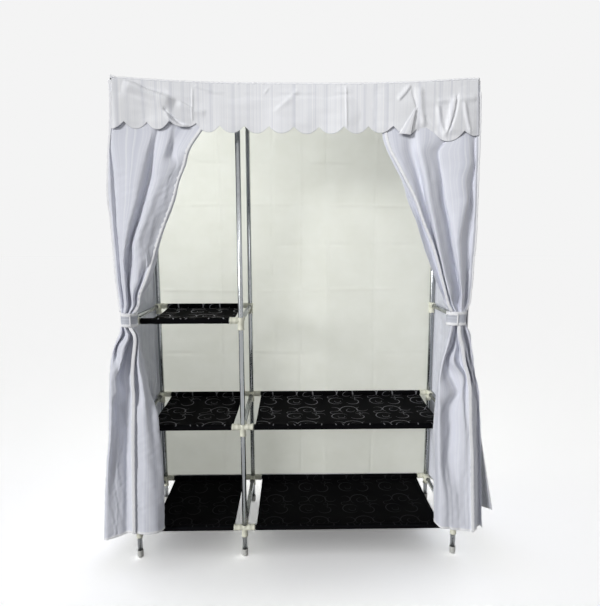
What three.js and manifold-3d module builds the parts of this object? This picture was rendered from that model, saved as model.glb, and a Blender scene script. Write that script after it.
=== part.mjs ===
// A portable fabric wardrobe: a frame of steel tubes in plastic connectors, five cloth shelves,
// a hanging rail, and a sewn cover with a valance and two curtains that are tied back.
// Millimetres, +X to the right, +Y to the back, +Z up. The origin is the middle of the footprint.
import * as THREE from "three";
import { mergeVertices } from "three/addons/utils/BufferGeometryUtils.js";
import Module from "manifold-3d";

const wasm = await Module();
wasm.setup();

// Frame sizes, from axis to axis
const bay_pitch = 415;
const right_bay_pitches = 2;
const depth_pitch = 400;
const foot_rise = 120;
const shelf_pitch = 415;
const top_rise = 820;

// Tubes and feet
const tube_diameter = 19;
const tube_wall = 0.8;
const fit_gap = 0.3;
const cap_diameter = 24;
const cap_height = 30;
const cap_floor = 4;
const cap_rounding = 5;

// Connectors
const sleeve_wall = 2;
const rim_wall = 3.2;
const rim_width = 5;
const socket_reach = 41;
const socket_floor = 12.5;
const sleeve_drop = 36;
const sleeve_rise = 11.5;
const dome_wall = 3;
const mid_dome_rise = 13;
const corner_dome_rise = 30;

// Hanging rail and its hooks
const rail_drop = 24;
const rail_overhang = 9;
const hook_wall = 3;
const hook_mouth = 11;

// Shelf cloths
const shelf_thickness = 1;
const shelf_side_gap = 3;
const shelf_sag = 9;
const shelf_floor_drop = 6;

// Cover
const cloth = 1.2;
const cover_room = 14;
const curtain_slot = 9;
const seam_gap = 0.5;
const corner_fall = 450;
const corner_plateau = 30;
const panel_hem_height = 118;
const side_flare_left = 70;
const side_flare_right = 145;
const side_flare_start = 900;
const side_hem_lift = 75;

// Valance
const valance_drop = 176;
const scallop_pitch = 84.4;
const scallop_depth = 25;
const scallop_first = 600;
const valance_wave = 5;

// Curtains and their ties
const curtain_top_width_left = 366;
const curtain_top_width_right = 402;
const curtain_hem_height = 112;
const curtain_edge_room = 1.5;
const fold_count = 6;
const slot_fold = 3;
const open_fold = 17;
const hem_fold = 30;
const tie_height = 962;
const tie_width_left = 51;
const tie_width_right = 66;
const tie_depth = 43;
const tie_band_height = 50;
const tie_room = 1.6;
const tie_stand_off = 1.5;
const tie_offset_left = 9;
const tie_offset_right = -4;
const hem_out_left = 112;
const hem_in_left = 73;
const hem_out_right = 106;
const hem_in_right = 29;
const tab_height = 42;
const tab_gap = 0.4;

// Shares of a length, powers, angles in degrees and counts
const side_rows_share = [0, 0.1, 0.2, 0.3, 0.4, 0.5, 1];
const upper_rows_share = [0, 0.1, 0.2, 0.3, 0.45, 0.6, 0.75, 0.88];
const lower_rows_share = [0.08, 0.18, 0.32, 0.5, 0.75, 1];
const fold_growth_share = 0.4;
const edge_pull_share = 0.6;
const valance_wave_scallops = 2.4;
const side_flare_power = 1.3;
const side_hem_power = 3;
const tab_start_angle = 185;
const tab_end_angle_left = 288;
const tab_end_angle_right = 265;
const frame_sides = 8;
const tie_sides = 24;
const tab_steps = 6;
const side_steps = 6;
const valance_rows = 3;
const scallop_steps = 4;
const steps_per_fold = 4;

// Worked out from the sizes above
const tube_radius = tube_diameter / 2;
const bore_radius = tube_radius + fit_gap;
const sleeve_radius = bore_radius + sleeve_wall;
const rim_radius = bore_radius + rim_wall;
const right_bay = right_bay_pitches * bay_pitch;
const frame_width = bay_pitch + right_bay;
const half_width = frame_width / 2;
const half_depth = depth_pitch / 2;
const levels = [0, 1, 2].map((n) => foot_rise + n * shelf_pitch);
levels.push(levels[2] + top_rise);
const top_level = levels[3];
const post_x = { left: -half_width, mid: bay_pitch - half_width, right: half_width };
const post_y = { front: -half_depth, back: half_depth };
const side_x = half_width + cover_room;
const front_y = -half_depth - cover_room;
const back_y = half_depth + cover_room;
const roof_front_y = front_y - curtain_slot + seam_gap;

// Colours of the real materials
const finishes = {
  steel: { color: 0xb4b7b6, roughness: 0.25, metalness: 0.9 },
  ivory_plastic: { color: 0xe2e3d3, roughness: 0.5, metalness: 0 },
  foot_plastic: { color: 0xc9c9c5, roughness: 0.6, metalness: 0 },
  shelf_cloth: { color: 0x0b0b0d, roughness: 0.7, metalness: 0 },
  back_cloth: { color: 0xe7e8db, roughness: 0.9, metalness: 0 },
  cover_cloth: { color: 0xc3c6d2, roughness: 0.85, metalness: 0 },
  tie_cloth: { color: 0xb9bcc6, roughness: 0.85, metalness: 0 },
};
const material = Object.fromEntries(
  Object.entries(finishes).map(([name, look]) => [name, new THREE.MeshStandardMaterial(look)]),
);

const wardrobe = new THREE.Group();

function place(name, geometry, finish) {
  const mesh = new THREE.Mesh(geometry, material[finish]);
  mesh.name = name;
  wardrobe.add(mesh);
}

// Joining and cutting of closed meshes
function toSolid(geometry) {
  const bare = new THREE.BufferGeometry();
  const flat = geometry.index ? geometry.toNonIndexed() : geometry;
  bare.setAttribute("position", flat.getAttribute("position"));
  const merged = mergeVertices(bare, seam_gap * 1e-3);
  return new wasm.Manifold(
    new wasm.Mesh({
      numProp: 3,
      vertProperties: new Float32Array(merged.attributes.position.array),
      triVerts: new Uint32Array(merged.index.array),
    }),
  );
}

function toGeometry(solid) {
  const mesh = solid.getMesh();
  const geometry = new THREE.BufferGeometry();
  const points = new Float32Array(mesh.vertProperties);
  geometry.setAttribute("position", new THREE.BufferAttribute(points, 3));
  geometry.setIndex(new THREE.BufferAttribute(new Uint32Array(mesh.triVerts), 1));
  return geometry;
}

const join = (solids) => solids.reduce((sum, solid) => sum.add(solid));
const cut = (solid, tools) => tools.reduce((left, tool) => left.subtract(tool), solid);

// A geometry built along +Y is turned to lie along another axis.
function along(geometry, axis) {
  if (axis === "x") return geometry.rotateZ(-Math.PI / 2);
  if (axis === "z") return geometry.rotateX(Math.PI / 2);
  return geometry;
}

// A full rod from one place to another along an axis, through the point at.
function rod(radius, from, to, axis, at) {
  const length = to - from;
  const geometry = new THREE.CylinderGeometry(radius, radius, length, frame_sides);
  geometry.translate(0, from + length / 2, 0);
  return along(geometry, axis).translate(...at);
}

// A body turned from a closed outline of [radius, place] points.
function turned(outline, axis, at) {
  const points = outline.map(([r, h]) => new THREE.Vector2(r, h));
  return along(new THREE.LatheGeometry(points, frame_sides), axis).translate(...at);
}

// A round tube with open ends.
function pipe(from, to, axis, at) {
  const inner = tube_radius - tube_wall;
  const outline = [
    [inner, from],
    [tube_radius, from],
    [tube_radius, to],
    [inner, to],
    [inner, from],
  ];
  return turned(outline, axis, at);
}

// A closed body between two surfaces that share one grid; outer(u, v) and inner(u, v) give points,
// with u and v the places on the grid, from 0 to 1 unless the stations are given.
function shell(columns, rows, outer, inner) {
  const us = Array.isArray(columns) ? columns : ruler(columns);
  const vs = Array.isArray(rows) ? rows : ruler(rows);
  const wide = us.length;
  const tall = vs.length;
  const points = [];
  for (const surface of [outer, inner]) {
    for (const v of vs) for (const u of us) points.push(...surface(u, v));
  }
  const at = (side, i, j) => side * wide * tall + j * wide + i;
  const faces = [];
  const quad = (a, b, c, d) => faces.push(a, b, c, a, c, d);
  for (let j = 0; j < tall - 1; j++) {
    for (let i = 0; i < wide - 1; i++) {
      quad(at(0, i, j), at(0, i + 1, j), at(0, i + 1, j + 1), at(0, i, j + 1));
      faces.push(at(1, i, j), at(1, i + 1, j + 1), at(1, i + 1, j));
      faces.push(at(1, i, j), at(1, i, j + 1), at(1, i + 1, j + 1));
    }
  }
  const last_i = wide - 1;
  const last_j = tall - 1;
  for (let i = 0; i < last_i; i++) {
    quad(at(0, i + 1, 0), at(0, i, 0), at(1, i, 0), at(1, i + 1, 0));
    quad(at(0, i, last_j), at(0, i + 1, last_j), at(1, i + 1, last_j), at(1, i, last_j));
  }
  for (let j = 0; j < last_j; j++) {
    quad(at(0, 0, j), at(0, 0, j + 1), at(1, 0, j + 1), at(1, 0, j));
    quad(at(0, last_i, j + 1), at(0, last_i, j), at(1, last_i, j), at(1, last_i, j + 1));
  }
  const geometry = new THREE.BufferGeometry();
  geometry.setAttribute("position", new THREE.BufferAttribute(new Float32Array(points), 3));
  geometry.setIndex(faces);
  return geometry;
}

const ruler = (steps) => Array.from({ length: steps + 1 }, (_, n) => n / steps);
const mix = (a, b, share) => a + (b - a) * share;
const clamp01 = (value) => Math.min(1, Math.max(0, value));
const ease = (value) => clamp01(value) ** 2 * (3 - 2 * clamp01(value));

// Posts, each a column of tube lengths that meet end to end inside the connectors
function buildPosts() {
  for (const row of ["front", "back"]) {
    for (const place_x of ["left", "mid", "right"]) {
      const dome = place_x === "mid" ? mid_dome_rise : corner_dome_rise;
      const top = top_level + dome - dome_wall - fit_gap;
      const at = [post_x[place_x], post_y[row], 0];
      place(`post_${row}_${place_x}`, pipe(cap_floor + fit_gap, top, "z", at), "steel");
      place(`foot_${row}_${place_x}`, footCap(at), "foot_plastic");
    }
  }
}

// A foot cap: a cup with a rounded bottom edge that the post stands in
function footCap(at) {
  const outer = cap_diameter / 2;
  const outline = [
    [0, 0],
    [outer - cap_rounding, 0],
    [outer - cap_rounding * (1 - Math.SQRT1_2), cap_rounding * (1 - Math.SQRT1_2)],
    [outer, cap_rounding],
    [outer, cap_height],
    [bore_radius, cap_height],
    [bore_radius, cap_floor],
    [0, cap_floor],
  ];
  return turned(outline, "z", at);
}

// Cross tubes along X; a bay has none where no connector socket faces it
function buildCrossTubes() {
  const bays = { left: ["left", "mid"], right: ["mid", "right"] };
  const inset = socket_floor + fit_gap;
  levels.forEach((level, n) => {
    for (const [bay, [from, to]] of Object.entries(bays)) {
      if (!hasBay(n, bay)) continue;
      for (const row of ["front", "back"]) {
        const body = pipe(post_x[from] + inset, post_x[to] - inset, "x", [0, post_y[row], level]);
        place(`tube_l${n + 1}_${row}_${bay}`, body, "steel");
      }
    }
  });
}

// The third level has a shelf in the left bay only.
const hasBay = (level_index, bay) => level_index !== 2 || bay === "left";

// A socket arm from a post axis towards the tube that it holds
function socketArm(axis, direction, at) {
  const start = Math.min(0, direction * socket_reach);
  return toSolid(rod(sleeve_radius, start, start + socket_reach, axis, at));
}

// The thicker rim at the mouth of a socket arm along X
function socketRim(direction, at) {
  const start = direction > 0 ? socket_reach - rim_width : -socket_reach;
  return toSolid(rod(rim_radius, start, start + rim_width, "x", at));
}

// A rung: the depth tube with the two connectors that its ends are pressed into
function buildRung(level_index, side) {
  const level = levels[level_index];
  const top = level_index === levels.length - 1;
  const dome = side === "mid" ? mid_dome_rise : corner_dome_rise;
  const x = post_x[side];
  const bodies = [];
  const bores = [];
  for (const [row, inward] of [
    ["front", 1],
    ["back", -1],
  ]) {
    const at = [x, post_y[row], level];
    const rise = top ? dome : sleeve_rise;
    bodies.push(toSolid(rod(sleeve_radius, -sleeve_drop, rise, "z", at)));
    bodies.push(socketArm("y", inward, at));
    const bore_top = top ? dome - dome_wall : rise + sleeve_wall;
    bores.push(toSolid(rod(bore_radius, -sleeve_drop - sleeve_wall, bore_top, "z", at)));
    const arms = [];
    if (side !== "left" && hasBay(level_index, side === "mid" ? "left" : "right")) arms.push(-1);
    if (side !== "right" && hasBay(level_index, side === "mid" ? "right" : "left")) arms.push(1);
    for (const direction of arms) {
      bodies.push(socketArm("x", direction, at), socketRim(direction, at));
      const near = direction * socket_floor;
      const far = direction * (socket_reach + sleeve_wall);
      bores.push(toSolid(rod(bore_radius, Math.min(near, far), Math.max(near, far), "x", at)));
    }
  }
  const reach = half_depth - socket_floor;
  bodies.push(toSolid(rod(tube_radius, -reach, reach, "y", [x, 0, level])));
  place(`rung_l${level_index + 1}_${side}`, toGeometry(cut(join(bodies), bores)), "ivory_plastic");
}

// The hanging rail of the right bay lies under the top rungs, in two hooks that clip over them.
function buildRail() {
  const z = top_level - rail_drop;
  const from = post_x.mid - rail_overhang;
  const to = post_x.right + rail_overhang;
  place("hanging_rail", pipe(from, to, "x", [0, 0, z]), "steel");
  const reach = bore_radius + hook_wall;
  for (const [side, outward] of [
    ["mid", -1],
    ["right", 1],
  ]) {
    const x = post_x[side];
    const block = new THREE.BoxGeometry(2 * reach, 2 * reach, rail_drop + 2 * reach);
    block.translate(x, 0, z + rail_drop / 2);
    const mouth = new THREE.BoxGeometry(2 * reach, 4 * reach, hook_mouth);
    mouth.translate(x + outward * reach, 0, top_level);
    const tools = [
      rod(bore_radius, -2 * reach, 2 * reach, "y", [x, 0, top_level]),
      rod(bore_radius, x - 2 * reach, x + 2 * reach, "x", [0, 0, z]),
      mouth,
    ];
    const hook = cut(toSolid(block), tools.map(toSolid));
    place(`rail_hook_${side}`, toGeometry(hook), "ivory_plastic");
  }
}

// A shelf cloth: a sleeve round the front tube, a sagging floor and a sleeve round the back tube,
// as one outline that is extruded along X between the connectors
function buildShelf(level_index, bay) {
  const [from, to] = bay === "left" ? ["left", "mid"] : ["mid", "right"];
  const inner = tube_radius + fit_gap;
  const outer = inner + shelf_thickness;
  const ring = (radius, side) =>
    ruler(frame_sides).slice(1).map((share) => {
      const angle = share * 2 * Math.PI;
      return [side * half_depth - radius * Math.sin(angle), radius * Math.cos(angle)];
    });
  const floor_z = (share, lower) => {
    const sag = shelf_sag * 4 * share * (1 - share);
    return -shelf_floor_drop - sag - (lower ? shelf_thickness : 0);
  };
  const floor_points = (lower) =>
    ruler(frame_sides).map((share) => {
      const reach = half_depth - Math.sqrt(inner ** 2 - shelf_floor_drop ** 2) - fit_gap;
      return [mix(-reach, reach, share), floor_z(share, lower)];
    });
  const strip = [...floor_points(true), ...floor_points(false).reverse()];
  const length = post_x[to] - post_x[from] - 2 * (socket_reach + shelf_side_gap);
  const start = post_x[from] + socket_reach + shelf_side_gap;
  const slab = toSolid(extrudeAlongX(strip, [], start, length));
  const sleeves = [-1, 1].map((side) => {
    const band = extrudeAlongX(ring(outer, side), [ring(inner, side)], start, length);
    return toSolid(band);
  });
  const tubes = [-1, 1].map((side) => toSolid(extrudeAlongX(ring(inner, side), [], start, length)));
  const body = cut(join([slab, ...sleeves]), tubes);
  const geometry = toGeometry(body).translate(0, 0, levels[level_index]);
  place(`shelf_l${level_index + 1}_${bay}`, geometry, "shelf_cloth");
}

// An outline of [y, z] points is extruded along X; three.js extrudes along Z, so it is turned.
function extrudeAlongX(outline, holes, start, length) {
  const shape = new THREE.Shape(outline.map(([y, z]) => new THREE.Vector2(y, z)));
  shape.holes = holes.map((hole) => new THREE.Path(hole.map(([y, z]) => new THREE.Vector2(y, z))));
  const geometry = new THREE.ExtrudeGeometry(shape, { depth: length, bevelEnabled: false });
  const turn = new THREE.Matrix4().makeBasis(
    new THREE.Vector3(0, 1, 0),
    new THREE.Vector3(0, 0, 1),
    new THREE.Vector3(1, 0, 0),
  );
  return geometry.applyMatrix4(turn).translate(start, 0, 0);
}

// The roof's underside lies on the rims of the top connectors and rises to the corner posts.
function roofUnderside(x, y) {
  const from_side = Math.max(0, half_width - corner_plateau - Math.abs(x));
  const from_end = Math.max(0, half_depth - corner_plateau - Math.abs(y));
  const fall = clamp01(Math.hypot(from_side, from_end) / corner_fall);
  const rest = rim_radius + fit_gap;
  return top_level + rest + (corner_dome_rise + fit_gap - rest) * (1 - fall) ** 2;
}

// Places across the cover: its two edges, and between them shares of the way to a corner plateau
const wide_shares = [-1, -0.88, -0.72, -0.5, -0.2, 0.2, 0.5, 0.72, 0.88, 1];
const deep_shares = [-1, -0.5, 0.5, 1];
function stations(shares, half, low_edge, high_edge) {
  const inside = shares.map((share) => share * (half - corner_plateau));
  return [low_edge, ...inside, high_edge];
}

function buildRoof() {
  const edge = side_x + cloth;
  const xs = stations(wide_shares, half_width, -edge, edge);
  const ys = stations(deep_shares, half_depth, roof_front_y, back_y + seam_gap + cloth);
  const at = (lift) => (x, y) => [x, y, roofUnderside(x, y) + lift];
  place("roof", shell(xs, ys, at(cloth), at(0)), "cover_cloth");
}

function buildBackPanel() {
  const edge = side_x + cloth;
  const at = (y) => (x, v) => {
    const top = roofUnderside(x, y) - seam_gap;
    return [x, y, mix(panel_hem_height, top, v)];
  };
  const near = back_y + seam_gap;
  const xs = stations(wide_shares, half_width, -edge, edge);
  const body = shell(xs, 1, at(near), at(near + cloth));
  place("back_panel", body, "back_cloth");
}

// A side panel hangs straight at the back and flares out towards its lower front corner.
function buildSidePanel(side, flare) {
  const sign = side === "left" ? -1 : 1;
  const at = (offset) => (u, v) => {
    const y = mix(front_y, back_y, u);
    const top = roofUnderside(side_x, y) - seam_gap;
    const lift = side_hem_lift * (flare / side_flare_right) * (1 - u) ** side_hem_power;
    const hem = panel_hem_height + lift;
    const z = mix(hem, top, v);
    const fallen = clamp01((side_flare_start - z) / (side_flare_start - panel_hem_height));
    const out = flare * fallen ** side_flare_power * ease(1 - u);
    return [sign * (side_x + offset + out), y, z];
  };
  const faces = [at(cloth), at(0)];
  if (sign < 0) faces.reverse();
  place(`side_${side}`, shell(side_steps, side_rows_share, faces[0], faces[1]), "cover_cloth");
}

// The valance hangs in front of the curtains and ends in scallops.
function buildValance() {
  const edge = side_x + cloth;
  const y = front_y - curtain_slot;
  const scallops = Math.floor((2 * scallop_first) / scallop_pitch);
  const xs = [-edge];
  for (let n = 0; n <= scallops * scallop_steps; n++) {
    xs.push(-scallop_first + (n * scallop_pitch) / scallop_steps);
  }
  xs.push(edge);
  const lower = (x) => {
    const phase = (x + scallop_first) / scallop_pitch;
    return scallop_depth * Math.abs(Math.sin(Math.PI * phase));
  };
  const at = (offset) => (x, v) => {
    const top = roofUnderside(x, front_y) + cloth;
    const bottom = top_level - valance_drop + scallop_depth - lower(x);
    const turn = (2 * Math.PI * x) / (valance_wave_scallops * scallop_pitch);
    const wave = valance_wave * (1 - v) * (1 + Math.sin(turn));
    return [x, y - offset - wave / 2, mix(bottom, top, v)];
  };
  place("valance", shell(xs, valance_rows, at(cloth), at(0)), "cover_cloth");
}

// A curtain in plan is a folded line. Its row gives the two edges, the fold depth and the height;
// the folds lie in front of the frame, and inside the tie they fill an oval.
function curtainRows(curtain) {
  const { sign, top_width, tie_offset, tie_width, hem_out, hem_in } = curtain;
  const edge = side_x - curtain_edge_room;
  const tie_outer = half_width + tie_offset;
  const tie_inner = tie_outer - tie_width;
  const tie_top = tie_height + tie_band_height / 2 + cloth;
  const tie_bottom = tie_height - tie_band_height / 2 - cloth;
  const valance_edge = top_level - valance_drop;
  const rows = [];
  const row = (z, outer, inner, fold, oval) => {
    rows.push({ z, outer: sign * outer, inner: sign * inner, fold, oval });
  };
  const curtain_top = top_level + rim_radius + fit_gap - seam_gap;
  for (const share of upper_rows_share) {
    const z = mix(curtain_top, tie_top, share);
    const below = ease((valance_edge - z) / (valance_edge - tie_top) / fold_growth_share);
    const fold = z > valance_edge ? slot_fold : mix(slot_fold, open_fold, below);
    const outer = mix(edge, tie_outer, ease((share - edge_pull_share) / (1 - edge_pull_share)));
    row(z, outer, mix(edge - top_width, tie_inner, share), fold, false);
  }
  row(tie_top, tie_outer, tie_inner, tie_depth / 2, true);
  row(tie_bottom, tie_outer, tie_inner, tie_depth / 2, true);
  for (const share of lower_rows_share) {
    const spread = Math.sqrt(share);
    const z = mix(tie_bottom, curtain_hem_height, share);
    const outer = tie_outer + hem_out * spread;
    row(z, outer, tie_inner - hem_in * spread, mix(tie_depth / 2, hem_fold, share), false);
  }
  return rows;
}

function buildCurtain(side, curtain) {
  const rows = curtainRows(curtain).reverse();
  const steps = fold_count * steps_per_fold;
  const rest_y = front_y - seam_gap - cloth / 2;
  const line = (row) =>
    ruler(steps).map((u, n) => {
      const oval = row.oval ? Math.sqrt(clamp01(1 - (2 * u - 1) ** 2)) : 1;
      const wave = Math.sin((2 * Math.PI * n) / steps_per_fold);
      const stand_off = row.oval ? tie_stand_off : 0;
      const y = rest_y - stand_off - row.fold + row.fold * oval * wave;
      return [mix(row.outer, row.inner, u), y];
    });
  const lines = rows.map(line);
  const at = (offset) => (u, v) => {
    const j = Math.round(v * (rows.length - 1));
    const i = Math.round(u * steps);
    const [x, y] = lines[j][i];
    const [ax, ay] = lines[j][Math.max(0, i - 1)];
    const [bx, by] = lines[j][Math.min(steps, i + 1)];
    const length = Math.hypot(bx - ax, by - ay);
    const lift = (offset * cloth) / 2 / length;
    return [x - curtain.sign * (by - ay) * lift, y + curtain.sign * (bx - ax) * lift, rows[j].z];
  };
  const faces = curtain.sign < 0 ? [at(1), at(-1)] : [at(-1), at(1)];
  const body = shell(steps, rows.length - 1, faces[0], faces[1]);
  place(`curtain_${side}`, body, "cover_cloth");
  buildTie(side, curtain);
}

// The tie: an oval band round the gathered curtain, and the tab that closes it in front
function buildTie(side, curtain) {
  const centre_x = curtain.sign * (half_width + curtain.tie_offset - curtain.tie_width / 2);
  const centre_y = front_y - seam_gap - cloth / 2 - tie_stand_off - tie_depth / 2;
  const inner_x = curtain.tie_width / 2 + tie_room;
  const inner_y = tie_depth / 2 + tie_room;
  const oval = (grow, angle, z) => [
    centre_x + (inner_x + grow) * Math.cos(angle),
    centre_y + (inner_y + grow) * Math.sin(angle),
    z,
  ];
  const outline = (grow) =>
    ruler(tie_sides).slice(1).map((share) => {
      const [x, y] = oval(grow, share * 2 * Math.PI, 0);
      return new THREE.Vector2(x, y);
    });
  const ring = new THREE.Shape(outline(cloth));
  ring.holes = [new THREE.Path(outline(0))];
  const band = new THREE.ExtrudeGeometry(ring, { depth: tie_band_height, bevelEnabled: false });
  band.translate(0, 0, tie_height - tie_band_height / 2);
  place(`tieback_${side}`, band, "tie_cloth");
  const face = (grow) => (u, v) => {
    const degrees = mix(tab_start_angle, curtain.tab_end_angle, u);
    return oval(grow, (degrees / 180) * Math.PI, tie_height + (v - 0.5) * tab_height);
  };
  const near = cloth + tab_gap;
  place(`tie_tab_${side}`, shell(tab_steps, 1, face(near + cloth), face(near)), "tie_cloth");
}

buildPosts();
buildCrossTubes();
levels.forEach((_, n) => ["left", "mid", "right"].forEach((side) => buildRung(n, side)));
buildRail();
for (const n of [0, 1]) for (const bay of ["left", "right"]) buildShelf(n, bay);
buildShelf(2, "left");
buildRoof();
buildBackPanel();
buildSidePanel("left", side_flare_left);
buildSidePanel("right", side_flare_right);
buildValance();
buildCurtain("left", {
  sign: -1,
  top_width: curtain_top_width_left,
  tie_offset: tie_offset_left,
  tie_width: tie_width_left,
  hem_out: hem_out_left,
  hem_in: hem_in_left,
  tab_end_angle: tab_end_angle_left,
});
buildCurtain("right", {
  sign: 1,
  top_width: curtain_top_width_right,
  tie_offset: tie_offset_right,
  tie_width: tie_width_right,
  hem_out: hem_out_right,
  hem_in: hem_in_right,
  tab_end_angle: tab_end_angle_right,
});

// The origin is set to the middle of the footprint, on the floor.
const box = new THREE.Box3().setFromObject(wardrobe);
const middle = box.getCenter(new THREE.Vector3());
wardrobe.position.set(-middle.x, -middle.y, -box.min.z);

export default wardrobe;
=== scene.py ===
# %% [markdown]
# # A portable fabric wardrobe
# A frame of steel tubes in plastic connectors carries cloth shelves and a sewn cover. The packed
# frame gives every size. This script dresses it with fine meshes and finishes, in metres,
# with +X to the right, +Y to the back and +Z up.

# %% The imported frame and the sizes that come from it
import math
import bpy
import numpy as np
from mathutils import Matrix, Vector


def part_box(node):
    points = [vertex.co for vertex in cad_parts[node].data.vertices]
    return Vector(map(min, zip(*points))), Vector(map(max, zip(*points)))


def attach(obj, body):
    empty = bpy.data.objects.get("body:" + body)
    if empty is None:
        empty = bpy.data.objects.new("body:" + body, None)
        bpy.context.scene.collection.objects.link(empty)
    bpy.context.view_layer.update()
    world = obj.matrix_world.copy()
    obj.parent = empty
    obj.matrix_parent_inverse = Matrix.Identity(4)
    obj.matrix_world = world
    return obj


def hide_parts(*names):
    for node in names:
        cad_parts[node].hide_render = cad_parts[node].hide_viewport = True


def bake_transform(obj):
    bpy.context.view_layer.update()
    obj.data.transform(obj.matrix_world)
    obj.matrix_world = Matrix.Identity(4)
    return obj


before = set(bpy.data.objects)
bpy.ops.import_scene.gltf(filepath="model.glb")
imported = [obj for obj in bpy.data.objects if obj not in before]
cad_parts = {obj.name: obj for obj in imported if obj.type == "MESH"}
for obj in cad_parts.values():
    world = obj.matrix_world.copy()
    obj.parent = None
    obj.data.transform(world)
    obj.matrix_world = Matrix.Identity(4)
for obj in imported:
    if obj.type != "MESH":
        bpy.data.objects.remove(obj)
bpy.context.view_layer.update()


def middle(node):
    """The middle of a node's box, as three numbers."""
    low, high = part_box(node)
    return (np.array(low) + np.array(high)) / 2


sides = ("left", "mid", "right")
post_x = {side: float(middle(f"post_front_{side}")[0]) for side in sides}
post_y = {row: float(middle(f"post_{row}_mid")[1]) for row in ("front", "back")}
levels = [0.120, 0.535, 0.950, 1.770]
top_level = levels[3]
centre_x = (post_x["left"] + post_x["right"]) / 2
centre_y = (post_y["front"] + post_y["back"]) / 2
half_width, half_depth = post_x["right"] - centre_x, post_y["back"] - centre_y
cover_gap = 0.014  # from the axes of the outer tubes to the cover
side_x = half_width + cover_gap
front_y, back_y = -half_depth - cover_gap, half_depth + cover_gap
valance_y = front_y - 0.0096
up_way = np.array([0.0, 0.0, 1.0])
print("frame", round(2 * half_width, 4), "x", round(2 * half_depth, 4))

# %% [markdown]
# ## The camera
# The view was worked out from the feet, the connectors and the corners of the cover, whose
# real places are known. A camera is a point, three directions and a focal length. The same
# numbers also place a point of the photograph in the room, once its depth is chosen. So cloth
# folds can be drawn where the picture has them.

# %% Two ways from a picture point to a place
focal = 478.3  # in picture points, as the next three
picture_height = 606.0
middle_px, middle_py = 300.0, 303.0
sensor = 36.0  # in millimetres
eye = np.array([-0.0154, -1.9613, 1.2526])
pitch, yaw, roll = np.radians([-7.692, 0.925, -0.122])
ahead = np.array([np.sin(yaw) * np.cos(pitch), np.cos(yaw) * np.cos(pitch), np.sin(pitch)])
level_right = np.array([np.cos(yaw), -np.sin(yaw), 0.0])
level_up = np.cross(level_right, ahead)
right = np.cos(roll) * level_right + np.sin(roll) * level_up
up = np.cos(roll) * level_up - np.sin(roll) * level_right


def x_seen(px, y, z):
    """The x at which a point of depth y and height z is seen in picture column px: the point's
    share to the right, times the focal length, equals its share ahead times the column."""
    column = np.asarray(px, float) - middle_px
    dy, dz = y - eye[1], z - eye[2]
    rest = focal * (dy * right[1] + dz * right[2]) - column * (dy * ahead[1] + dz * ahead[2])
    return eye[0] - rest / (focal * right[0] - column * ahead[0])


def seen(px, py, y):
    """The place at depth y on the line of sight through picture point px, py."""
    ray = ahead + right * (px - middle_px) / focal + up * (middle_py - py) / focal
    return eye + ray * (y - eye[1]) / ray[1]


print("picture middle at the front", np.round(seen(middle_px, middle_py, front_y), 3))

# %% The camera
camera_data = bpy.data.cameras.new("camera")
camera_data.sensor_width = sensor
camera_data.lens = focal * sensor / picture_height
camera_data.clip_start, camera_data.clip_end = 0.05, 60.0
camera = bpy.data.objects.new("camera", camera_data)
bpy.context.scene.collection.objects.link(camera)
turn = np.eye(4)
turn[:3, 0], turn[:3, 1], turn[:3, 2] = right, up, -ahead
turn[:3, 3] = eye + [centre_x, centre_y, 0.0]
camera.matrix_world = Matrix(turn.tolist())
bpy.context.scene.camera = camera
print("lens", round(camera_data.lens, 3), "camera", np.round(turn[:3, 3], 3))

# %% [markdown]
# ## Room and light
# The floor and the air are one pale grey, as in a light tent. A broad soft sun from the front
# left shapes the folds, a small square lamp above the camera lights the front, and a weak sun
# comes from the right. A large lamp behind the left end shines through the thin back panel.
# None of these lamps lights the floor. The floor has a bright finish for the camera and for
# mirrored rays, and a matt one for the light that it sends back up to the cloth.

# %% Colours and shader nodes by name
scene = bpy.context.scene
scene.view_settings.view_transform = "Standard"


def linear(*rgb):
    """Eye values from 0 to 255 made into light: the share above its foot to the power 2.4."""
    share = np.array(rgb, float) / 255.0
    light = np.where(share > 0.04045, ((share + 0.055) / 1.055) ** 2.4, share / 12.92)
    return [float(c) for c in light] + [1.0]


def feed(tree, node, inputs):
    """Sets a node's inputs; each one is a value or the output of another node."""
    for key, value in inputs.items():
        if isinstance(value, bpy.types.NodeSocket):
            tree.links.new(value, node.inputs[key])
        else:
            node.inputs[key].default_value = value


def add(tree, kind, inputs=None, **settings):
    """One shader node with its settings and inputs."""
    made = tree.nodes.new("ShaderNode" + kind)
    for key, value in settings.items():
        setattr(made, key, value)
    feed(tree, made, inputs or {})
    return made


def math_node(tree, operation, a, b=0.0, c=0.0):
    """The output of one Math node: the operation on a, b and c."""
    return add(tree, "Math", {0: a, 1: b, 2: c}, operation=operation).outputs[0]


def seen_by(tree, *rays):
    """1 for rays of one of these kinds and 0 for others: the largest of the path's outputs."""
    path = add(tree, "LightPath")
    share = path.outputs[rays[0]]
    for ray in rays[1:]:
        share = math_node(tree, "MAXIMUM", share, path.outputs[ray])
    return share


print("a middle grey as light", round(linear(128, 128, 128)[0], 3))

# %% The air
world = bpy.data.worlds.new("air")
scene.world = world
world.use_nodes = True
air = world.node_tree
air.nodes.clear()
fill = add(air, "Background", {"Color": [1, 1, 1, 1], "Strength": 0.23})
view = add(air, "Background", {"Color": linear(244, 244, 244), "Strength": 1.0})
shown = seen_by(air, "Is Camera Ray", "Is Glossy Ray", "Is Transmission Ray")
both = add(air, "MixShader", {0: shown, 1: fill.outputs[0], 2: view.outputs[0]})
add(air, "OutputWorld", {"Surface": both.outputs[0]})
print("air", len(air.nodes), "nodes")


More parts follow.
